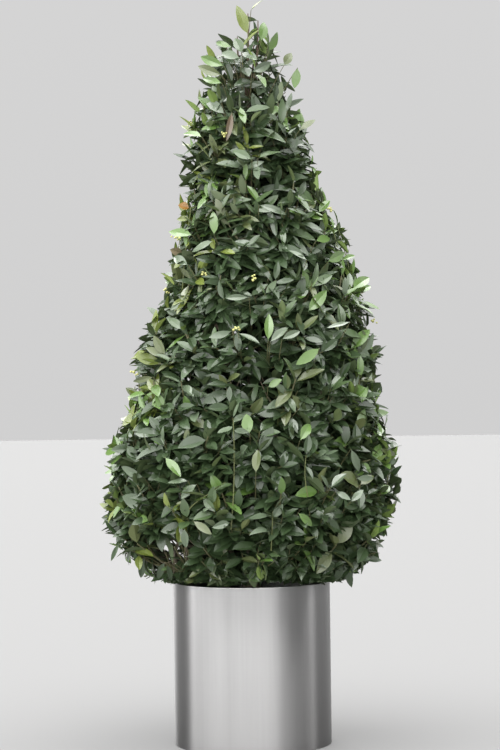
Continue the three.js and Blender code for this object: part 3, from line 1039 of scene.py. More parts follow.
@dataclass
class Framework:
    """The limbs inside the crown: boughs off the trunk, then stems, branches and main shoots in each mass."""

    crown: Crown
    trunk: Trunk
    core_depth: float = 84
    core_thickness: float = 40
    stem_inset: float = 14
    stem_straight: float = 8
    bough_rise: float = 0.55
    bough_stagger: float = 24
    bough_lowest: float = 69
    bough_bend: float = 0.55
    bough_sag: float = 0.06
    foot_drop: float = 92
    foot_margin: float = 50
    tip_rise: float = 52
    seam_wave: float = 18
    row_play: Pair = (0.42, 0.58)
    column_play: Pair = (0.3, 0.5)
    row_shift: float = 0.2
    shoot_lean: float = 26
    shoot_depth: Pair = (34, 50)
    shoot_bow: float = 6

    def in_core(self, angle: Array, z: Array) -> Array:
        """Points in the middle of the shell under the leaves, where branches run."""
        return self.crown.point(self.crown.radius(z) - self.core_depth - self.core_thickness / 2, angle, z)

    def stem_foot(self, mass: Mass) -> Triple:
        """Where a mass's stem starts.

        Args:
            mass: The mass.

        Returns:
            The height, angle and radius.
        """
        z = mass.at(0.5)
        radius = self.crown.radius(z) - self.core_depth - self.core_thickness - self.stem_inset
        return z, mass.seam(z) + mass.width / 2, radius

    def boughs(self, found: list[Mass]) -> Arcs:
        """The bough of each mass, from the trunk's centre line up and out to the mass's stem.

        Args:
            found: The masses.

        Returns:
            One curve each.
        """
        feet = np.array([self.stem_foot(mass) for mass in found])
        z, angle, radius = feet.T
        end = self.crown.point(radius, angle, z)
        stagger = self.bough_stagger * (np.array([mass.index for mass in found]) % 3 - 1)
        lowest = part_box("soil")[1].z / MM + self.bough_lowest
        start = self.trunk.centre(stagger + np.maximum(lowest, z - radius * self.bough_rise))
        bend = between(start, end, self.bough_bend) - UP * column(self.bough_sag * radius)
        return Arcs(start, bend, end)

    def stem(self, mass: Mass, bough: Arcs) -> Arcs:
        """The mass's stem, from its bough's tip to the middle of its shell.

        Args:
            mass: The mass.
            bough: Its bough.

        Returns:
            The stem.
        """
        z, angle, _ = self.stem_foot(mass)
        ahead = bough.heading(np.ones(1))
        return Arcs(bough.end, bough.end + ahead * self.stem_straight, self.in_core(angle, z)[None])

    def shoots(self, mass: Mass, rng: Rng) -> tuple[Arcs, Arcs]:
        """The mass's main shoots on its grid, with some play and lean, and the branches that carry them.

        Args:
            mass: The mass.
            rng: Its random numbers.

        Returns:
            The branches through the shell, and the shoots from it to just under the leaves.
        """
        tier = mass.tier
        row = np.repeat(np.arange(tier.rows), tier.columns)
        col = np.tile(np.arange(tier.columns), tier.rows)
        up = (row + rng.uniform(*self.row_play, row.size)) / tier.rows
        turn = (col + self.row_shift * (row % 2) + rng.uniform(*self.column_play, row.size)) / tier.columns
        z = mass.at(up)
        angle = mass.seam(z) + mass.width * turn
        lean = self.shoot_lean * rng.uniform(-1, 1, row.size) / self.crown.radius(z)
        foot = self.in_core(angle - lean, np.maximum(z - self.foot_drop, tier.bottom + self.foot_margin))
        tip_z = np.minimum(z + self.tip_rise, tier.top - self.seam_wave)
        tip_radius = self.crown.reach(tip_z, angle + lean) - rng.uniform(*self.shoot_depth, row.size)
        tip = self.crown.point(tip_radius, angle + lean, tip_z)
        middle, facing, _ = self.stem_foot(mass)
        heart = np.broadcast_to(self.in_core(facing, middle), foot.shape)
        branch_bend = self.in_core((facing + angle) / 2, (middle + foot[:, 2]) / 2)
        out, _ = self.crown.outward(foot)
        shoot_bend = (foot + tip) / 2 + out * self.shoot_bow
        return Arcs(heart, branch_bend, foot), Arcs(foot, shoot_bend, tip)


@dataclass
class Sprays:
    """Twigs with what their leaves need. Each has its tint, and how far past the surface it may reach."""

    twigs: Arcs
    tints: Array
    spare: Array | float
    leaf_size: float = 1.0
    leaf_count: int = 9
    spacing: float = 1.0


@dataclass
class Leaves(Rows):
    """Many leaves: their roots, directions, the way their faces look, lengths and tints.

    A width is a share of the leaf's length.
    """

    roots: Array
    directions: Array
    faces_up: Array
    lengths: Array
    widths: Array
    tints: Array

    def frames(self) -> tuple[Array, Array]:
        """The direction across each blade and the direction that its face looks."""
        across = unit(np.cross(self.faces_up, self.directions))
        return across, np.cross(self.directions, across)


@dataclass(frozen=True)
class LeafForm:
    """A bay leaf: a pointed ellipse on a short stalk, folded along its rib, with slightly wavy edges."""

    stations: tuple[float, ...] = (0.07, 0.2, 0.36, 0.54, 0.73, 0.89)
    stalk: float = 0.07
    stalk_half: float = 0.9
    widest: float = 0.92
    fullness: float = 0.8
    rib: float = 0.9
    rib_fade: float = 1.1
    rib_above: float = 0.35
    fold: Pair = (0.10, 0.55)
    droop: Pair = (-0.05, 0.28)
    sickle: float = 0.07
    wave: float = 2.6
    twist: float = 0.5

    def half_width(self, share: Array) -> Array:
        """The half width at shares of the length, from 0 to 1: sin(pi x^0.92)^0.8, with x past the stalk."""
        x = along(share, self.stalk, 1 - self.stalk)
        return np.sin(math.pi * x**self.widest) ** self.fullness

    def shapes(self, leaves: Leaves, rng: Rng) -> Shapes:
        """The leaves as thin closed blades.

        Each ring has four points: the right edge, the rib's top, the left edge and the rib's back. The centre
        line is root + length (t direction - droop t^2 face + sickle t^2 across). The edges rise from the rib
        by the fold, plus a small wave, and the blade turns about its rib by the twist.

        Args:
            leaves: The leaves.
            rng: Random numbers for what differs from leaf to leaf.

        Returns:
            The blades.
        """
        count = len(leaves.roots)
        across, face = leaves.frames()
        t = np.array([0.0, *self.stations, 1.0])
        length = leaves.lengths[:, None]
        droop = rng.uniform(*self.droop, count)[:, None] * length
        sickle = rng.uniform(-self.sickle, self.sickle, count)[:, None] * length
        line = (leaves.roots[:, None] + leaves.directions[:, None] * column(t * length)
                - face[:, None] * column(droop * t**2) + across[:, None] * column(sickle * t**2))
        turn = rng.uniform(-self.twist, self.twist, count)[:, None] * t[1:-1]
        side = across[:, None] * column(np.cos(turn)) + face[:, None] * column(np.sin(turn))
        lift = face[:, None] * column(np.cos(turn)) - across[:, None] * column(np.sin(turn))
        half = leaves.widths[:, None] * length / 2 * self.half_width(t[1:-1])
        half = np.maximum(half, self.stalk_half)
        rise = half * rng.uniform(*self.fold, count)[:, None]
        ripple = self.wave * rng.uniform(-1, 1, (count, t.size - 2, 2)) * column(half / half.max())
        thick = self.rib * (self.rib_fade - t[1:-1])
        centre = line[:, 1:-1]
        rings = np.stack([
            centre + side * column(half) + lift * column(rise + ripple[..., 0]),
            centre + lift * column(self.rib_above * thick),
            centre - side * column(half) + lift * column(rise + ripple[..., 1]),
            centre - lift * column(thick),
        ], axis=2)
        return Shapes(rings, line[:, [0, -1]])

    def slots(self, shapes: Shapes, tints: Array) -> Slots:
        """The material numbers of the faces: the leaf's tint twice, plus one on its underside.

        Args:
            shapes: The blades. The second half of each ring lies underneath.
            tints: Their tints' numbers.

        Returns:
            The numbers of the quads and of the triangles.
        """
        count, rings, sides = shapes.rings.shape[:3]
        ring = 2 * tints[:, None, None] + (np.arange(sides) >= sides // 2)
        quads = np.broadcast_to(ring, (count, rings - 1, sides))
        fans = np.broadcast_to(ring, (count, 2, sides))
        return quads.ravel(), fans.ravel()


@dataclass(frozen=True)
class ThinPlace:
    """A place where the crown has fewer leaves: its middle, half its size, and the share of leaves it loses.

    It is a shaft through the crown along the photograph's view, measured where it cuts the trunk's plane.
    """

    x: float
    z: float
    width: float
    height: float
    lost: float


@dataclass(frozen=True)
class TintRule:
    """Deals each spray its tint, mostly one of the common ones: mature, deep shade, sage sheen or olive.

    Deep shade ones are likelier low down and at the very top, as painted shade, and olive ones on the left
    flank above the skirt, as painted backlight. Fresh and young ones are likelier on both flanks, more so on
    the left, as painted backlight, and near the top. A zone is where something starts and over what height it
    grows.
    """

    crown: Crown
    # Shares of mature, deep shade, sage sheen and olive, low down and high up; the deep shade share is
    # painted shade.
    low_shares: tuple[float, ...] = (0.35, 0.33, 0.12, 0.20)
    high_shares: tuple[float, ...] = (0.45, 0.18, 0.26, 0.11)
    change_height: float = 1120
    change_spread: float = 130
    # The share of deep shade sprays by height: painted shade.
    deep: Curve = ((650, 0.54), (1200, 0.26), (1500, 0.05), (1950, 0.05), (2200, 0.42))
    fresh: float = 0.06
    # Fresh sprays on the flanks, more on the left: painted backlight.
    fresh_on_flank: float = 0.8
    fresh_high: float = 0.14
    flank_power: int = 3
    flank_lean: float = 0.25
    high_zone: Pair = (1300, 900)
    # Fewer fresh sprays low on the skirt: painted shade.
    skirt_zone: Pair = (560, 320)
    skirt_least: float = 0.15
    # Olive on the left flank: painted backlight.
    olive_side: float = -0.6
    olive_above: float = 1050
    young: float = 0.20
    # More young sprays on the left: painted backlight.
    young_lean: float = 0.23

    def deal(self, tips: Array, rng: Rng) -> Array:
        """A tint for each spray.

        Args:
            tips: The ends of the twigs.
            rng: Random numbers.

        Returns:
            The tints' numbers.
        """
        _, angle = self.crown.polar(tips)
        z, side = tips[:, 2], np.cos(angle)
        draw = rng.uniform(0, 1, len(tips))
        kinds = np.where(
            z < self.change_height + rng.normal(0, self.change_spread, len(tips)),
            rng.choice(COMMON, len(tips), p=self.low_shares),
            rng.choice(COMMON, len(tips), p=self.high_shares),
        )
        # Painted shade: the deep shade tint, by height.
        kinds = np.where(draw > 1 - read(self.deep, z), Tint.DEEP.number, kinds)
        # Painted backlight: olive on the left flank.
        left = (side < self.olive_side) & (z > self.olive_above)
        kinds = np.where(left & (kinds != Tint.DEEP.number), Tint.OLIVE.number, kinds)
        # Painted backlight: fresh and young sprays on the flanks, more on the left.
        fresh = self._freshness(z, side)
        kinds = np.where(draw < fresh, Tint.FRESH.number, kinds)
        return np.where(draw < fresh * (self.young - self.young_lean * side), Tint.YOUNG.number, kinds)

    def _freshness(self, z: Array, side: Array) -> Array:
        """The share of fresh sprays: more on both flanks and most on the left, as painted backlight, more
        near the top, and fewer low on the skirt, as painted shade.

        Args:
            z: Heights.
            side: From -1 at the crown's left to 1 at its right.

        Returns:
            The share at each.
        """
        flank = np.abs(side) ** self.flank_power * (1 - self.flank_lean * side)
        high = along(z, *self.high_zone)
        share = self.fresh + self.fresh_on_flank * flank + self.fresh_high * high
        return share * along(z, *self.skirt_zone, self.skirt_least)


@dataclass
class Growth:
    """Carries each mass's rule on to fine twigs."""

    crown: Crown
    rule: TintRule
    rows: int = 3
    columns: int = 4
    drop: float = 70
    overlap: float = 14
    lowest: float = 540
    least_radius: float = 12
    depth: Pair = (16, 84)
    depth_power: float = 1.2
    valley: float = 36
    spare: float = 3
    spare_play: float = 19
    spare_range: Pair = (-34, 42)
    leaf_sizes: Curve = ((519, 0.76), (1190, 0.94), (1505, 1.03))
    joint_drop: Pair = (50, 100)
    joint_range: Pair = (0.03, 0.9)
    twig_bend: float = 0.6
    twig_sag: Pair = (0.1, 0.34)
    twig_bow: Pair = (-4, 10)

    def sprays(self, mass: Mass, shoots: Arcs, rng: Rng) -> Sprays:
        """The fine twigs round each main shoot, on a finer grid of their own.

        A twig leaves its shoot lower down and further in than it ends, and turns up towards its tip. Twigs
        end deeper at the edges of the grid, by valley * 4 * (up^2 + turn^2), so that valleys part the shoots.

        Args:
            mass: The mass.
            shoots: Its main shoots.
            rng: Its random numbers.

        Returns:
            The twigs.
        """
        tier = mass.tier
        count = len(shoots.start)
        each = self.rows * self.columns
        place = np.tile(np.arange(each), count)
        shoot = shoots.chosen(np.repeat(np.arange(count), each))
        _, angle = self.crown.polar(shoot.end)
        row, col = place // self.columns, place % self.columns
        up = (row + rng.uniform(0, 1, place.size)) / self.rows - 0.5
        turn = (col + rng.uniform(0, 1, place.size)) / self.columns - 0.5
        z = shoot.end[:, 2] - self.drop + up / tier.rows * (tier.top - tier.bottom)
        z = np.clip(z, np.maximum(tier.bottom - self.overlap, self.lowest), tier.top + self.overlap)
        angle = angle + turn * mass.width / tier.columns
        reach = self.crown.reach(z, angle)
        valley = self.valley * 4 * (up**2 + turn**2)
        depth = between(*self.depth, rng.uniform(0, 1, z.size) ** self.depth_power) + valley
        end = self.crown.point(np.maximum(reach - depth, self.least_radius), angle, z)
        start = self.joint(shoot, z, self.joint_range, rng)
        twigs = self.rising(start, end, rng)
        tints = self.rule.deal(end, rng)
        spare = np.clip(rng.normal(self.spare, self.spare_play, z.size), *self.spare_range)
        return Sprays(twigs, tints, spare, self.size_at(tier))

    def joint(self, limbs: Arcs, z: Array, within: Pair, rng: Rng) -> Array:
        """Where twigs leave their limbs, some way below where they end.

        Args:
            limbs: One upright limb for each twig.
            z: The heights where the twigs end.
            within: The lowest and the highest share of its limb where a twig may start.
            rng: Random numbers.

        Returns:
            The points.
        """
        height = limbs.end[:, 2] - limbs.start[:, 2]
        share = (z - rng.uniform(*self.joint_drop, z.size) - limbs.start[:, 2]) / height
        return limbs.at(np.clip(share, *within))

    def size_at(self, tier: Tier) -> float:
        """The leaves' scale in a tier: a little smaller low down."""
        return float(read(self.leaf_sizes, tier.bottom))

    def rising(self, start: Array, end: Array, rng: Rng) -> Arcs:
        """Twigs that set off sideways and turn up towards their tips.

        Args:
            start: Where they start.
            end: Their tips.
            rng: Random numbers.

        Returns:
            The twigs.
        """
        span = np.linalg.norm(end - start, axis=-1)
        out, _ = self.crown.outward(end)
        sag = UP * column(span * rng.uniform(*self.twig_sag, span.size))
        bend = between(start, end, self.twig_bend) - sag
        return Arcs(start, bend + out * column(rng.uniform(*self.twig_bow, span.size)), end)


@dataclass
class InnerTwigs:
    """Short twigs off a mass's branches, whose leaves, in the deep shade tint as painted shade, close the
    crown behind the outer ones.
    """

    growth: Growth
    count: int = 40
    shares: Curve = ((1190, 1), (1505, 0.55), (1795, 0.15))
    up: Pair = (-0.02, 1)
    depth: Pair = (62, 128)
    least_radius: float = 20
    joint_near: float = 0.8
    joints: Pair = (0.3, 1)
    spare: float = -30.0
    brown: float = 0.07

    def sprays(self, mass: Mass, branches: Arcs, rng: Rng) -> Sprays:
        """The twigs, their leaves all in the deep shade tint as painted shade, or brown.

        Args:
            mass: The mass.
            branches: Its branches.
            rng: Its random numbers.

        Returns:
            The twigs.
        """
        crown = self.growth.crown
        count = int(self.count * read(self.shares, mass.tier.bottom))
        z = mass.at(rng.uniform(*self.up, count))
        angle = mass.seam(z) + mass.width * rng.uniform(0, 1, count)
        radius = crown.reach(z, angle) - rng.uniform(*self.depth, count)
        end = crown.point(np.maximum(radius, self.least_radius), angle, z)
        joints = branches.at(np.full(len(branches.start), self.joint_near))
        branch = branches.chosen(nearest(end, joints))
        twigs = self.growth.rising(branch.at(rng.uniform(*self.joints, count)), end, rng)
        # Painted shade: the deep shade tint, with a few brown leaves.
        tints = rng.choice([Tint.DEEP.number, Tint.BROWN.number], count, p=[1 - self.brown, self.brown])
        return Sprays(twigs, tints, self.spare)


@dataclass
class Hem:
    """Twigs low round the planter's rim, whose leaves hang to it and shade the soil."""

    growth: Growth
    count: int = 26
    heights: Pair = (548, 610)
    radii: Pair = (170, 305)
    joints: Pair = (0.5, 1)
    spare: float = -4.0
    leaf_count: int = 11

    def sprays(self, mass: Mass, branches: Arcs, rng: Rng) -> Sprays:
        """The twigs of one mass of the skirt.

        Args:
            mass: The mass.
            branches: Its branches.
            rng: Its random numbers.

        Returns:
            The twigs.
        """
        z = rng.uniform(*self.heights, self.count)
        angle = mass.seam(z) + mass.width * rng.uniform(0, 1, self.count)
        end = self.growth.crown.point(rng.uniform(*self.radii, self.count), angle, z)
        branch = branches.chosen(nearest(end, branches.end))
        twigs = self.growth.rising(branch.at(rng.uniform(*self.joints, self.count)), end, rng)
        tints = self.growth.rule.deal(end, rng)
        return Sprays(twigs, tints, self.spare, self.growth.size_at(mass.tier), self.leaf_count)


@dataclass
class Nodes(Rows):
    """Places on twigs for one leaf each: the root, the twig's direction there, and what the leaf starts from.

    turn is the angle round the twig from straight out, rise how steeply the leaf stands, and spare how far
    past the clipped surface it may go.
    """

    roots: Array
    ahead: Array
    turn: Array
    rise: Array
    tints: Array
    spare: Array


@dataclass
class Leafing:
    """Sets leaves one after another up the twigs, and keeps them inside the crown."""

    crown: Crown
    length: Pair = (64, 112)
    length_power: float = 0.7
    width: Pair = (0.31, 0.46)
    width_play: float = 0.04
    narrow_zone: Pair = (750, 850)
    gap: float = 12.5
    gap_play: Pair = (0.7, 1.3)
    crowded: int = 4
    crowded_gap: float = 0.45
    open_gap: float = 1.2
    bare_foot: float = 0.1
    turn_play: float = 0.25
    turn_out: float = 0.4
    rise_top: float = 0.95
    rise_step: float = 0.34
    rise_range: Pair = (-0.25, 1)
    rise_play: float = 0.32
    steep: float = 0.5
    steep_size: float = 0.82
    upright: float = 0.8
    stray: float = 0.2
    # Leaves rooted deeper than this under the surface take the deep shade tint: painted shade.
    deep: float = 60
    hang_zone: Pair = (660, -90)
    hang: Pair = (0.5, 1.3)
    hanging_size: float = 0.82
    face_out: float = 1.5
    face_ahead: float = 0.5
    face_play: float = 0.36
    tries: int = 5
    turn_again: float = 1.2
    flatten: float = 1.5
    shrink: float = 0.4
    fit_at: float = 0.55
    fit_half: float = 0.18
    bare_below: float = 400
    bare_slope: float = 0.9
    bare_rise: float = 130
    barest: float = 0.2
    airy: Curve = ((1650, 1), (2000, 0.58))
    thin_places: tuple[ThinPlace, ...] = (
        ThinPlace(-258, 600, 94, 80, 0.98), ThinPlace(-372, 1235, 62, 120, 0.6),
    )

    def leaves(self, sprays: Sprays, rng: Rng) -> Leaves:
        """The leaves of sprays, from each twig's tip down.

        A leaf that would leave the crown is drawn again, turned less outwards and smaller, and in the end
        left out.

        Args:
            sprays: The twigs.
            rng: Random numbers.

        Returns:
            The leaves that fit.
        """
        pending = self._nodes(sprays, rng)
        found = []
        for attempt in range(self.tries):
            leaves = self._drawn(pending, attempt / self.tries, sprays.leaf_size, rng)
            fits = self._fit(leaves, pending.spare)
            found.append(leaves.chosen(fits))
            pending = pending.chosen(~fits)
        return Leaves.gathered(found)

    def _nodes(self, sprays: Sprays, rng: Rng) -> Nodes:
        """The places of the leaves, each a golden turn past the last, and turned a little outwards.

        Leaves crowd near the tips. Fewer grow where the crown is airy, thin or bare. A few take another
        tint than their spray's, and those deep inside all take the deep shade tint, as painted shade.

        Args:
            sprays: The twigs.
            rng: Random numbers.

        Returns:
            The places.
        """
        twigs = sprays.twigs
        count, each = len(twigs.start), sprays.leaf_count
        place = np.arange(each)
        gaps = self.gap * sprays.spacing * rng.uniform(*self.gap_play, (count, each))
        gaps = gaps * np.where(place < self.crowded, self.crowded_gap, self.open_gap)
        down = np.cumsum(gaps, axis=1) - gaps[:, :1]
        share = 1 - down / twigs.length()[:, None]
        leafy = share > self.bare_foot
        share = np.clip(share, 0, 1)
        roots, ahead = twigs.at(share), twigs.heading(share)
        keep = leafy & (rng.uniform(0, 1, share.shape) < self._fullness(roots))
        first = rng.uniform(0, 2 * math.pi, (count, 1))
        turn = first + place * GOLDEN_TURN + rng.normal(0, self.turn_play, (count, each))
        turn = turn % (2 * math.pi)
        turn = turn - self.turn_out * np.sin(turn)
        tints = np.repeat(sprays.tints[:, None], each, axis=1)
        stray = (rng.uniform(0, 1, tints.shape) < self.stray) & (tints != Tint.DEEP.number)
        tints = np.where(stray, rng.choice(COMMON, tints.shape), tints)
        # Painted shade: leaves deep inside take the deep shade tint.
        tints = np.where(self._is_deep(roots), Tint.DEEP.number, tints)
        spare = np.broadcast_to(column(sprays.spare), (count, each))
        rise = np.clip(self.rise_top - self.rise_step * place, *self.rise_range) * np.ones((count, 1))
        return Nodes(roots, ahead, turn, rise, tints, spare).chosen(keep)

    def _is_deep(self, roots: Array) -> Array:
        """Whether each root lies far under the clipped surface."""
        radius, angle = self.crown.polar(roots)
        return self.crown.reach(roots[..., 2], angle) - radius > self.deep

    def _fullness(self, roots: Array) -> Array:
        """The share of leaves that grow: less low inside and under the skirt, and near the top.

        Args:
            roots: The leaves' roots.

        Returns:
            The share at each root.
        """
        radius, _ = self.crown.polar(roots)
        bare_line = self.bare_below + self.bare_slope * np.maximum(radius - self.crown.rim_radius, 0)
        full = along(roots[..., 2], bare_line, self.bare_rise, self.barest)
        return full * (read(self.airy, roots[..., 2]) * self._openness(roots))

    def _openness(self, roots: Array) -> Array:
        """The share of leaves kept where the crown is seen through.

        At each thin place it is 1 - lost exp(-a^4 - b^4), with a and b the roots' X and Z away from it in its
        sizes, once each root is moved along the line of sight to the plane through the trunk.

        Args:
            roots: The leaves' roots.

        Returns:
            The share at each root.
        """
        nearer = Camera.distance / (Camera.distance + roots[..., 1] * MM)
        eye = Camera.height / MM
        x, z = roots[..., 0] * nearer, between(eye, roots[..., 2], nearer)
        kept = np.ones(roots.shape[:-1])
        for place in self.thin_places:
            across = (x - place.x) / place.width
            up = (z - place.z) / place.height
            kept = kept * (1 - place.lost * np.exp(-(across**4) - up**4))
        return kept

    def _drawn(self, nodes: Nodes, ease: float, size: float, rng: Rng) -> Leaves:
        """One draw of a leaf at each node.

        The leaf points level, at its turn from straight out, and is then lifted by its rise. Leaves low on
        the skirt hang. Faces look up and a little out.

        Args:
            nodes: The nodes.
            ease: From 0 on the first draw towards 1 on the last.
            size: A scale for the leaves.
            rng: Random numbers.

        Returns:
            The leaves.
        """
        count = len(nodes.roots)
        out, around = self.crown.outward(nodes.roots)
        level = unit(np.cross(around, UP))
        turn = nodes.turn + ease * rng.uniform(-self.turn_again, self.turn_again, count)
        radial = level * column(np.cos(turn)) + around * column(np.sin(turn))
        low = along(nodes.roots[:, 2], *self.hang_zone)
        lift = nodes.rise + rng.normal(0, self.rise_play, count) - low * rng.uniform(*self.hang, count)
        upright = unit(nodes.ahead + UP * self.upright)
        direction = unit(radial * column(np.cos(lift)) + upright * column(np.sin(lift)))
        outwards = np.maximum(np.sum(direction * out, axis=-1), 0)
        direction = unit(direction - out * column(outwards * ease * self.flatten))
        faces_out = level * column(rng.uniform(0.0, self.face_out, count))
        faces_ahead = nodes.ahead * column(rng.uniform(0, self.face_ahead, count))
        faces_up = UP + faces_out + faces_ahead + rng.normal(0, self.face_play, (count, 3))
        drawn = between(*self.length, rng.uniform(0, 1, count) ** self.length_power)
        lengths = drawn * size * (1 - self.shrink * ease)
        lengths = lengths * np.where(nodes.rise > self.steep, self.steep_size, 1)
        lengths = lengths * between(1, self.hanging_size, low)
        narrow = along(nodes.roots[:, 2], *self.narrow_zone)
        widths = between(*self.width, 1 - narrow) + rng.uniform(-self.width_play, self.width_play, count)
        return Leaves(nodes.roots, direction, faces_up, lengths, widths, nodes.tints)

    def _fit(self, leaves: Leaves, spare: Array) -> Array:
        """Whether each leaf's tip and both its edges lie in the crown.

        Args:
            leaves: The leaves.
            spare: How far past the clipped surface each may go.

        Returns:
            True where the leaf fits.
        """
        across, _ = leaves.frames()
        middle = leaves.roots + leaves.directions * column(leaves.lengths * self.fit_at)
        edge = across * column(leaves.lengths * self.fit_half)
        tip = leaves.roots + leaves.directions * column(leaves.lengths)
        checks = [self.crown.holds(points, spare) for points in (tip, middle + edge, middle - edge)]
        return np.logical_and.reduce(checks)


@dataclass
class Tip:
    """The top of the tree: thin dark leaders off the trunk's fork, with leafy side twigs all the way up."""

    growth: Growth
    fork: Triple = (10, 0, 2062)
    tops: tuple[Triple, ...] = ((11, -6, 2334), (43, 0, 2312), (-24, 8, 2262), (28, 22, 2250))
    leader_bend: float = 0.35
    leader_spacing: float = 3.4
    leader_spare: float = 6.0
    twigs: int = 28
    heights: Pair = (2076, 2236)
    turn_play: float = 0.3
    depth: Pair = (34, 74)
    least_radius: float = 8
    joint_range: Pair = (0.02, 0.9)
    spare: float = 6
    spare_play: float = 10
    spare_range: Pair = (-12, 24)
    leaf_count: int = 7
    size: float = 1.02

    def leaders(self) -> Arcs:
        """The upright shoots, each leaving the fork sideways and then rising.

        Returns:
            The shoots.
        """
        end = np.array(self.tops, float)
        start = np.broadcast_to(np.array(self.fork, float), end.shape)
        bend = stacked(end[:, 0], end[:, 1], between(start[:, 2], end[:, 2], self.leader_bend))
        return Arcs(start, bend, end)

    def sprays(self, leaders: Arcs, rng: Rng) -> list[Sprays]:
        """The side twigs, each a golden turn past the last as they climb, and the leaders themselves.

        Args:
            leaders: The upright shoots.
            rng: Random numbers.

        Returns:
            The side twigs, then the leaders.
        """
        crown = self.growth.crown
        number = np.arange(self.twigs)
        z = between(*self.heights, (number + rng.uniform(0, 1, self.twigs)) / self.twigs)
        angle = number * GOLDEN_TURN + rng.normal(0, self.turn_play, self.twigs)
        radius = crown.reach(z, angle) - rng.uniform(*self.depth, self.twigs)
        end = crown.point(np.maximum(radius, self.least_radius), angle, z)
        leader = leaders.chosen(nearest(end[:, :2], leaders.end[:, :2]))
        twigs = self.growth.rising(self.growth.joint(leader, z, self.joint_range, rng), end, rng)
        tints = self.growth.rule.deal(end, rng)
        spare = np.clip(rng.normal(self.spare, self.spare_play, self.twigs), *self.spare_range)
        side = Sprays(twigs, tints, spare, self.size, self.leaf_count)
        tints = self.growth.rule.deal(leaders.end, rng)
        return [side, Sprays(leaders, tints, self.leader_spare, self.size, spacing=self.leader_spacing)]


# Leaves that stand out on the front, by tint. Each has its root's X and Z, its tip's X and Z, and its width
# as a share of its length as seen. The sage sheen ones are partly a painted sheen, and the deep shade ones
# painted shade.
MARKED = {
    Tint.YOUNG: (
        (10, 2246, -27, 2342, 0.38), (21, 2325, 57, 2364, 0.26), (-178, 1663, -218, 1668, 0.5),
    ),
    Tint.FRESH: (
        (-407, 940, -471, 934, 0.4), (-393, 925, -463, 900, 0.4),
        (51, 2226, 68, 2287, 0.5), (76, 2193, 106, 2254, 0.5), (-44, 2208, -92, 2223, 0.5),
        (-66, 2143, -147, 2178, 0.36), (-73, 2087, -140, 2111, 0.34), (166, 2140, 154, 2074, 0.44),
        (-17, 2009, -6, 1951, 0.4), (-138, 1918, -197, 1946, 0.42), (-171, 1610, -247, 1633, 0.38),
        (-102, 1603, -102, 1682, 0.36), (225, 1680, 264, 1721, 0.5), (249, 1519, 304, 1558, 0.5),
        (212, 1582, 269, 1607, 0.44), (182, 1360, 246, 1427, 0.4), (327, 1434, 383, 1487, 0.46),
        (59, 1269, 63, 1357, 0.34), (216, 1247, 142, 1195, 0.36), (57, 1130, 96, 1154, 0.5),
        (-381, 968, -376, 1007, 0.5), (-256, 924, -204, 867, 0.4), (1, 991, -16, 1050, 0.6),
        (150, 968, 185, 1027, 0.46), (91, 809, 97, 859, 0.5), (141, 754, 191, 714, 0.36),
        (-322, 1115, -389, 1117, 0.36),
    ),
    Tint.MATURE: (
        (-9, 2185, -31, 2236, 0.6), (-2, 1990, 76, 2009, 0.36), (36, 1842, 112, 1872, 0.38),
        (18, 1838, -44, 1872, 0.4), (108, 1121, 105, 1172, 0.5),
    ),
    # Leaves that catch the sky's sheen: partly painted sheen.
    Tint.SAGE: (
        (-16, 2165, -79, 2194, 0.42), (21, 2119, 82, 2156, 0.42), (-65, 1992, -134, 2050, 0.36),
        (30, 1823, 36, 1778, 0.6), (-106, 1584, -175, 1560, 0.4), (-185, 1514, -236, 1545, 0.5),
        (3, 1404, -73, 1406, 0.26), (-49, 1301, -120, 1278, 0.3), (-31, 1294, 35, 1266, 0.3),
        (37, 1692, 127, 1674, 0.24), (124, 1684, 193, 1665, 0.26), (182, 1519, 131, 1560, 0.26),
        (313, 1328, 236, 1311, 0.2), (65, 1266, 120, 1317, 0.34), (101, 1274, 159, 1302, 0.36),
        (-325, 860, -397, 891, 0.42), (-186, 852, -250, 855, 0.4), (-159, 843, -214, 801, 0.4),
        (-29, 935, -8, 952, 0.8), (242, 828, 287, 874, 0.4), (239, 825, 212, 862, 0.5),
        (257, 813, 300, 793, 0.4), (303, 781, 345, 817, 0.4), (324, 849, 376, 852, 0.4),
        (307, 940, 337, 866, 0.3), (-199, 710, -195, 651, 0.42), (-62, 728, -109, 720, 0.5),
    ),
    Tint.OLIVE: (
        (-73, 2114, -151, 2145, 0.36), (123, 2148, 147, 2189, 0.6), (170, 1941, 219, 1982, 0.34),
        (326, 1094, 330, 1137, 0.5), (17, 875, 24, 946, 0.42), (404, 936, 465, 914, 0.3),
        (-172, 734, -116, 695, 0.36), (-295, 1167, -359, 1156, 0.3), (392, 615, 391, 660, 0.46),
    ),
    Tint.BROWN: ((-43, 1991, -59, 1902, 0.24),),
    Tint.ORANGE: ((-181, 1700, -216, 1712, 0.75),),
    Tint.FADED: ((-205, 1557, -242, 1569, 0.7),),
    # Dark hanging leaves low down at the rim: painted shade.
    Tint.DEEP: (
        (-265, 599, -294, 546, 0.36), (-332, 607, -354, 537, 0.34), (-258, 593, -243, 542, 0.34),
        (285, 584, 314, 502, 0.34), (-413, 648, -441, 592, 0.3), (-373, 629, -404, 573, 0.3),
    ),
}


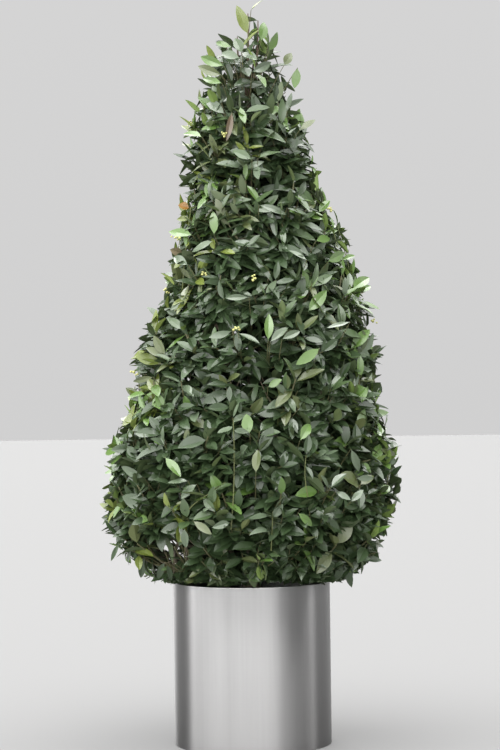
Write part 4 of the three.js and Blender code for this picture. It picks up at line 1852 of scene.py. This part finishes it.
@dataclass
class FrontLeaves:
    """Leaves that are set one by one on the front, each on a fine twig of its own."""

    crown: Crown
    shortest: float = 62
    longest: float = 96
    least_depth: float = 20
    proud: float = -3
    root_back: float = 0.6
    tip_forward: float = 0.3
    least_seen: float = 36
    face_out: float = 0.4
    face_forward: float = 0.35
    face_forward_aside: float = 0.9
    face_up: Pair = (-0.1, 0.55)
    face_play: float = 0.22
    twig_drop: float = 70
    twig_bend: Pair = (0.4, 0.3)
    rim_gap: float = 8

    def leaves(self, rng: Rng) -> Leaves:
        """All of them. One that is seen short is turned further out of the surface to its real length.

        Args:
            rng: Random numbers for the way that each looks.

        Returns:
            The leaves.
        """
        rows = np.array([row for some in MARKED.values() for row in some], float)
        tints = np.repeat([tint.number for tint in MARKED], [len(some) for some in MARKED.values()])
        seen = np.hypot(rows[:, 2] - rows[:, 0], rows[:, 3] - rows[:, 1])
        hidden = np.sqrt(np.maximum(self.shortest**2 - seen**2, 0))
        roots = self.crown.on_front(rows[:, 0], rows[:, 1], self.proud - hidden * self.root_back)
        tips = self.crown.on_front(rows[:, 2], rows[:, 3], self.proud + hidden * self.tip_forward)
        lie = tips - roots
        most = np.sqrt(np.maximum(self.longest**2 - seen**2, self.least_depth**2))
        lie[:, 1] = np.clip(lie[:, 1], -most, most)
        roots = tips - lie
        length = np.linalg.norm(lie, axis=-1)
        widths = rows[:, 4] * np.maximum(seen, self.least_seen) / length
        return Leaves(roots, unit(lie), self._faces(roots, rng), length, widths, tints)

    def _faces(self, roots: Array, rng: Rng) -> Array:
        """The ways that the faces look: out, up, and to the front, more so on the flanks.

        Args:
            roots: The leaves' roots.
            rng: Random numbers.

        Returns:
            A direction for each.
        """
        out, _ = self.crown.outward(roots)
        forward = self.face_forward + self.face_forward_aside * np.abs(out[:, 0]) ** 3
        to_front = np.array([0.0, -1.0, 0.0]) * column(forward)
        skyward = UP * column(rng.uniform(*self.face_up, len(roots)))
        return out * self.face_out + to_front + skyward + rng.normal(0, self.face_play, out.shape)

    def twigs(self, leaves: Leaves) -> Arcs:
        """A fine twig from the shade below and behind to each leaf's root, over the planter's rim.

        Args:
            leaves: The leaves.

        Returns:
            The twigs.
        """
        out, _ = self.crown.outward(leaves.roots)
        start = leaves.roots - out * self.twig_drop - UP * self.twig_drop
        back, down = self.twig_bend
        bend = leaves.roots - UP * self.twig_drop * down - out * self.twig_drop * back
        for points in (start, bend):
            points[:, 2] = np.maximum(points[:, 2], self.crown.rim_height + self.rim_gap)
        return Arcs(start, bend, leaves.roots)


@dataclass
class Canes:
    """Long upright shoots of the year that run up just under the surface, with a few leaves at the top.

    Each cane of the front has its foot's X and Z and its top's X and Z.
    """

    crown: Crown
    rule: TintRule
    front: tuple[Four, ...] = (
        (-59, 707, -49, 1039), (172, 800, 168, 925), (-184, 766, -111, 820), (60, 640, 66, 760),
    )
    front_proud: Pair = (-34.0, -12.0)
    count: int = 26
    angles: Pair = (-0.6, math.pi + 0.6)
    feet: Pair = (600, 1500)
    heights: Pair = (190, 330)
    wander: float = 0.06
    depths: Pair = (52, 16)
    sway: float = 16
    bow: float = 5
    spare: float = 14.0
    leaf_size: float = 0.85
    leaf_count: int = 5
    spacing: float = 2.0

    def shoots(self, rng: Rng) -> Arcs:
        """The canes of the front, and more round the rest of the crown.

        Args:
            rng: Random numbers.

        Returns:
            The canes.
        """
        x_foot, z_foot, x_top, z_top = np.array(self.front, float).T
        on_front = self.crown.on_front
        foot_proud, top_proud = self.front_proud
        angle = rng.uniform(*self.angles, self.count)
        low = rng.uniform(*self.feet, self.count)
        high = low + rng.uniform(*self.heights, self.count)
        turned = angle + rng.normal(0, self.wander, self.count)
        foot_depth, top_depth = self.depths
        more_feet = self.crown.point(self.crown.reach(low, angle) - foot_depth, angle, low)
        more_tops = self.crown.point(self.crown.reach(high, turned) - top_depth, turned, high)
        start = np.concatenate([on_front(x_foot, z_foot, foot_proud), more_feet])
        end = np.concatenate([on_front(x_top, z_top, top_proud), more_tops])
        out, around = self.crown.outward((start + end) / 2)
        sway = around * column(rng.uniform(-self.sway, self.sway, len(start)))
        return Arcs(start, (start + end) / 2 + out * self.bow + sway, end)

    def sprays(self, canes: Arcs, rng: Rng) -> Sprays:
        """The canes as twigs with leaves at their tops."""
        tints = self.rule.deal(canes.end, rng)
        return Sprays(canes, tints, self.spare, self.leaf_size, self.leaf_count, self.spacing)


@dataclass
class FlowerBuds:
    """Pale yellow clusters of round flower buds in the leaf joints."""

    crown: Crown
    front: tuple[Pair, ...] = ((-71, 1922), (-137, 1487), (19, 1463), (-34, 1307), (-218, 1606))
    front_proud: float = -5.0
    elsewhere: int = 12
    angles: Pair = (-0.5, math.pi + 0.5)
    heights: Pair = (1000, 2000)
    depth: float = 8
    beads: int = 6
    bead: Pair = (2.6, 4.2)
    bead_sides: int = 6
    bead_levels: tuple[float, ...] = (-0.62, 0.0, 0.62)
    cluster: float = 6.5
    seed: int = 21
    finish: Plain = Plain("flower_bud", (0.42, 0.42, 0.15), roughness=0.5)

    def build(self) -> None:
        """Makes the clusters, in one piece. A bead's rings lie on a ball, at levels from its middle."""
        rng = np.random.default_rng(self.seed)
        x, z = np.array(self.front, float).T
        on_front = self.crown.on_front(x, z, self.front_proud)
        angle = rng.uniform(*self.angles, self.elsewhere)
        z = rng.uniform(*self.heights, self.elsewhere)
        others = self.crown.point(self.crown.reach(z, angle) - self.depth, angle, z)
        centres = np.repeat(np.concatenate([on_front, others]), self.beads, axis=0)
        centres = centres + rng.normal(0, self.cluster, centres.shape)
        size = rng.uniform(*self.bead, len(centres))[:, None, None]
        level = np.array(self.bead_levels)[:, None]
        girth = np.sqrt(1 - level**2)
        angle = circle(self.bead_sides)
        ball = stacked(girth * np.cos(angle), girth * np.sin(angle), level)
        rings = centres[:, None, None] + size[..., None] * ball
        poles = centres[:, None] + size * np.array([-UP, UP])
        piece = joined_mesh("flower_buds", [Shapes(rings, poles)])
        dress(piece, [self.finish.material()], [], crease=80)


@dataclass
class Camera:
    """The photograph's view: from 6.4 m, a little under half the plant's height, with a slight roll."""

    distance: float = 6.41
    height: float = 1.077
    across: float = 0.0032
    tilt: float = 0.0150
    roll: float = 0.0125
    focal: float = 2000.0
    frame_height: float = 750.0
    sensor: float = 36.0

    def build(self) -> None:
        """Makes the camera: level, then tilted up, then rolled about its own axis."""
        lens = bpy.data.cameras.new("camera")
        lens.sensor_width = self.sensor
        lens.lens = self.focal / self.frame_height * self.sensor
        camera = bpy.data.objects.new("camera", lens)
        bpy.context.scene.collection.objects.link(camera)
        level = Matrix.Rotation(math.pi / 2 + self.tilt, 4, "X")
        camera.matrix_world = (Matrix.Translation((self.across, -self.distance, self.height)) @ level
                               @ Matrix.Rotation(-self.roll, 4, "Z"))
        bpy.context.scene.camera = camera
        log.info("camera: %.0f mm lens at %.2f m", lens.lens, self.distance)


@dataclass(frozen=True)
class Panel:
    """A soft light that faces the plant, in metres and watts. The camera doesn't see it itself."""

    name: str
    place: Triple
    size: Pair
    power: float
    target: float = 1.0
    mirrored: bool = True

    def build(self, lit: bpy.types.Collection) -> None:
        """Makes the light, turned to its target's height on the trunk.

        Args:
            lit: The collection that says what it lights.
        """
        lamp = bpy.data.lights.new(self.name, "AREA")
        lamp.shape = "RECTANGLE"
        lamp.size, lamp.size_y = self.size
        lamp.energy = self.power
        light = bpy.data.objects.new(self.name, lamp)
        light.location = self.place
        ahead = Vector((0, 0, self.target)) - Vector(self.place)
        light.rotation_euler = ahead.to_track_quat("-Z", "Y").to_euler()
        light.visible_camera = False
        light.visible_glossy = self.mirrored
        bpy.context.scene.collection.objects.link(light)
        light.light_linking.receiver_collection = lit


@dataclass
class Studio:
    """A plain pale floor under a soft bright ceiling, with a pale horizon and wide dim and bright screens.

    The ceiling, and the zone of the screens, go by a direction's Z, and each screen's brightness by the turn
    round the plant from the front, in degrees. Where the backdrop is seen, no screen comes down to the floor.
    Three low panels are mirrored in the steel, and two high ones light the crown from behind.
    """

    floor_radius: float = 60.0
    floor_sides: int = 96
    floor_finish: Plain = Plain("floor", (0.19, 0.19, 0.189), roughness=0.9)
    tone: Colour = (0.994, 0.991, 0.991)
    brightness: float = 5.8
    ceiling: Curve = (
        (0.0, 0.11), (0.22, 0.115), (0.42, 0.32), (0.62, 0.6), (0.7, 1.7), (0.82, 1.7), (0.9, 0.7),
    )
    screens_from: Curve = ((0.2, 0.0), (0.27, 1.0), (0.68, 1.0), (0.82, 0.0))
    under_screens: Curve = ((0.2, 1.0), (0.27, 0.0))
    off_backdrop: Curve = ((0.03, 0.0), (0.06, 1.0), (0.955, 1.0), (0.98, 0.0))
    screens: Curve = (
        (-180, 0.6), (-160, 0.5), (-148, 0.005), (-113, 0.005), (-100, 0.25), (-50, 0.36), (22, 0.36),
        (48, 0.16), (66, 0.02), (91, 0.02), (99, 0.55), (107, 0.01), (168, 0.005), (177, 0.3), (180, 0.6),
    )
    panels: tuple[Panel, ...] = (
        Panel("left", (-6.8, -2.9, 1.6), (8.8, 2.6), 215),
        Panel("front", (0.3, -7.6, 1.7), (11.0, 2.6), 280),
        Panel("left_side", (-7.25, 1.0, 1.6), (1.7, 2.6), 38),
        Panel("behind_left", (-6.0, 0.8, 4.2), (2.4, 2.4), 380, 1.3, mirrored=False),
        Panel("behind_right", (2.2, 6.0, 5.4), (2.4, 2.4), 30, 1.3, mirrored=False),
    )

    def build(self) -> None:
        """Makes the floor, the sky and the panels. They don't light the floor, so it has no bright patch."""
        floor = self._floor()
        self._sky()
        lit = bpy.data.collections.new("lit_by_panels")
        lit.objects.link(floor)
        lit.collection_objects[0].light_linking.link_state = "EXCLUDE"
        for panel in self.panels:
            panel.build(lit)
        bpy.context.scene.view_settings.view_transform = "Standard"

    def _floor(self) -> Piece:
        """A wide plain disc.

        Returns:
            The floor.
        """
        mesh = bpy.data.meshes.new("floor")
        angle = circle(self.floor_sides)
        corners = self.floor_radius * stacked(np.cos(angle), np.sin(angle), 0.0)
        mesh.from_pydata(corners, [], [list(range(self.floor_sides))])
        floor = bpy.data.objects.new("floor", mesh)
        bpy.context.scene.collection.objects.link(floor)
        mesh.materials.append(self.floor_finish.material())
        return floor

    def _levels(self, stops: Curve) -> Stops:
        """Stops of a ramp from places and levels, in the light's tone."""
        return tuple((place, tuple(level * part for part in self.tone)) for place, level in stops)

    def _sky(self) -> None:
        """Light from all round: by height a pale horizon and a bright ceiling, and between them the screens.

        A direction's turn is the angle whose tangent is x over -y, from -180 to 180 degrees. Away from the
        backdrop the screens reach down to the floor.
        """
        world = bpy.data.worlds.new("sky")
        world.use_nodes = True
        sky = Wiring(world.node_tree, "Background")
        seen = sky.node("ShaderNodeTexCoord", {}, {}, "Generated")
        x, y, z = (sky.part(seen, axis) for axis in "XYZ")
        turn = sky.node("ShaderNodeMath", {"operation": "ARCTAN2"}, {0: x, 1: y * -1.0})
        share = turn * (0.5 / math.pi) + 0.5
        by_share = tuple((degrees / 360 + 0.5, level) for degrees, level in self.screens)
        screens = sky.ramp(share, self._levels(by_share))
        ceiling = sky.ramp(z, self._levels(self.ceiling))
        off_backdrop = sky.ramp(share, self._levels(self.off_backdrop))
        low_zone = sky.ramp(z, self._levels(self.under_screens)) * off_backdrop
        zone = sky.ramp(z, self._levels(self.screens_from)) + low_zone
        sky.feed("Color", sky.mixed(zone, ceiling, screens))
        sky.shader.inputs["Strength"].default_value = self.brightness
        bpy.context.scene.world = world


@dataclass(frozen=True)
class Gauge:
    """One kind of limb: its radius at the start and at the end, its sides, its wood and its rings."""

    start: float
    end: float
    sides: int
    wood: Wood
    rings: int = 6


STEM = Gauge(4.5, 6.0, 8, Wood.OLD)
BRANCH = Gauge(5.6, 4.4, 6, Wood.OLD)
SHOOT = Gauge(4.2, 2.0, 6, Wood.YOUNG)
TWIG = Gauge(2.1, 1.2, 4, Wood.YOUNG)
SHADED_TWIG = Gauge(2.1, 1.2, 4, Wood.OLD)
LEADER = Gauge(5.0, 1.6, 8, Wood.LEADER, rings=14)
TOP_TWIG = Gauge(2.2, 1.2, 4, Wood.YOUNG)
CANE = Gauge(1.9, 1.1, 6, Wood.GREEN, rings=12)
LEAF_TWIG = Gauge(1.5, 0.9, 4, Wood.YOUNG)


@dataclass
class Foliage:
    """Collects twigs and leaves, and makes them into one piece of wood and pieces of leaves."""

    name: str
    form: LeafForm
    wood_finishes: list[Material]
    leaf_finishes: list[Material]
    piece_limit: int = 4000
    wood: list[Shapes] = field(default_factory=list)
    wood_slots: list[Slots] = field(default_factory=list)
    leaves: list[Leaves] = field(default_factory=list)

    def add_wood(self, limbs: Arcs, gauge: Gauge) -> None:
        """Adds limbs of one kind.

        Args:
            limbs: Their curves.
            gauge: Their kind.
        """
        share = np.tile(np.linspace(0, 1, gauge.rings), (len(limbs.start), 1))
        shapes = limb_shapes(limbs.at(share), between(gauge.start, gauge.end, share), gauge.sides)
        self.wood.append(shapes)
        self.wood_slots.append(tuple(np.full(len(faces), gauge.wood.number) for faces in shapes.faces()))

    def build(self, nodes: list[str]) -> None:
        """Makes the pieces.

        Args:
            nodes: The model's foliage nodes that the leaves stand for.
        """
        twigs = joined_mesh(f"twigs_{self.name}", self.wood, self.wood_slots)
        dress(twigs, self.wood_finishes, [])
        gathered = Leaves.gathered(self.leaves)
        pieces = math.ceil(len(gathered.roots) / self.piece_limit)
        for number, which in enumerate(np.array_split(np.arange(len(gathered.roots)), pieces)):
            some = gathered.chosen(which)
            shapes = self.form.shapes(some, np.random.default_rng(len(some.roots)))
            name = f"leaves_{self.name}" + (f"_{number + 1}" if pieces > 1 else "")
            piece = joined_mesh(name, [shapes], [self.form.slots(shapes, some.tints)])
            dress(piece, self.leaf_finishes, nodes, crease=22)


@dataclass
class Boughs:
    """The limbs from the trunk to each mass, with ridged bark.

    Each ridge has how often it goes round and over what length it twists, by height and by X.
    """

    radii: Pair = (8.5, 4.5)
    rings: int = 30
    sides: int = 14
    relief: float = 0.35
    by_height: Pair = (5, 17)
    by_x: Pair = (3, -29)
    bark: Bark = Bark("bough_bark", (0.070, 0.056, 0.036), (0.165, 0.140, 0.095))

    def build(self, found: list[Mass], boughs: Arcs) -> None:
        """Makes the boughs, in one piece.

        Args:
            found: The masses.
            boughs: The bough of each.
        """
        share = np.tile(np.linspace(0, 1, self.rings), (len(found), 1))
        paths = boughs.at(share)
        angle = circle(self.sides)
        ridges = sum(np.sin(times * angle + paths[..., axis, None] / twist)
                     for axis, (times, twist) in ((2, self.by_height), (0, self.by_x)))
        radii = between(*self.radii, share)[..., None] + self.relief * ridges
        piece = joined_mesh("boughs", [limb_shapes(paths, radii, self.sides)])
        nodes = [f"bough_{mass.tier.name}_{mass.number + 1}" for mass in found]
        dress(piece, [self.bark.material()], nodes, crease=60)


@dataclass
class Plant:
    """The whole bay: its trunk, its boughs, and each tier's twigs and leaves."""

    crown: Crown
    trunk: Trunk
    framework: Framework
    growth: Growth
    leafing: Leafing
    form: LeafForm
    shoot_spare: float = 4.0
    first_seed: int = 100
    tip_seed: int = 7

    def build(self) -> None:
        """Makes the trunk, the boughs and the foliage, tier by tier."""
        self.trunk.build()
        found = masses()
        boughs = self.framework.boughs(found)
        Boughs().build(found, boughs)
        leaf_finishes = [finish for tint in Tint for finish in tint.finishes()]
        wood_finishes = [wood.finish() for wood in Wood]
        for tier in TIERS:
            members = [mass for mass in found if mass.tier == tier]
            foliage = Foliage(tier.name, self.form, wood_finishes, leaf_finishes)
            for mass in members:
                self._mass(mass, boughs.chosen(np.array([mass.index])), foliage)
            foliage.build([f"foliage_{tier.name}_{mass.number + 1}" for mass in members])
        self._tip(Foliage("tip", self.form, wood_finishes, leaf_finishes))
        FlowerBuds(self.crown).build()

    def _mass(self, mass: Mass, bough: Arcs, foliage: Foliage) -> None:
        """Grows one mass: its wood, from its stem to its finest twigs, and its leaves.

        Args:
            mass: The mass.
            bough: Its bough.
            foliage: Where they go.
        """
        rng = np.random.default_rng(self.first_seed + mass.index)
        branches, shoots = self.framework.shoots(mass, rng)
        sprays = self.growth.sprays(mass, shoots, rng)
        inner = InnerTwigs(self.growth).sprays(mass, branches, rng)
        on_shoots = Sprays(shoots, self.growth.rule.deal(shoots.end, rng), self.shoot_spare)
        foliage.add_wood(self.framework.stem(mass, bough), STEM)
        foliage.add_wood(branches, BRANCH)
        foliage.add_wood(shoots, SHOOT)
        foliage.add_wood(sprays.twigs, TWIG)
        foliage.add_wood(inner.twigs, SHADED_TWIG)
        groups = [sprays, inner, on_shoots]
        if mass.tier is TIERS[0]:
            hem = Hem(self.growth).sprays(mass, branches, rng)
            foliage.add_wood(hem.twigs, SHADED_TWIG)
            groups.append(hem)
        foliage.leaves += [self.leafing.leaves(some, rng) for some in groups]

    def _tip(self, foliage: Foliage) -> None:
        """Grows the top's leaders, twigs and leaves, the canes, and the leaves set one by one.

        Args:
            foliage: Where they go.
        """
        rng = np.random.default_rng(self.tip_seed)
        tip = Tip(self.growth)
        leaders = tip.leaders()
        side, on_leaders = tip.sprays(leaders, rng)
        foliage.add_wood(leaders, LEADER)
        foliage.add_wood(side.twigs, TOP_TWIG)
        foliage.leaves += [self.leafing.leaves(some, rng) for some in (side, on_leaders)]
        canes = Canes(self.crown, self.growth.rule)
        shoots = canes.shoots(rng)
        topped = canes.sprays(shoots, rng)
        foliage.add_wood(shoots, CANE)
        front = FrontLeaves(self.crown)
        marked = front.leaves(rng)
        foliage.add_wood(front.twigs(marked), LEAF_TWIG)
        foliage.leaves += [self.leafing.leaves(topped, rng), marked]
        foliage.build(["foliage_tip"])


def main() -> None:
    """Builds the camera, the studio and the object."""
    logging.basicConfig(level=logging.INFO, format="%(name)s: %(message)s")
    Camera().build()
    Studio().build()
    Planter().build()
    Soil().build()
    crown = Crown()
    trunk = Trunk()
    framework = Framework(crown, trunk)
    growth = Growth(crown, TintRule(crown))
    Plant(crown, trunk, framework, growth, Leafing(crown), LeafForm()).build()


if __name__ == "__main__":
    main()
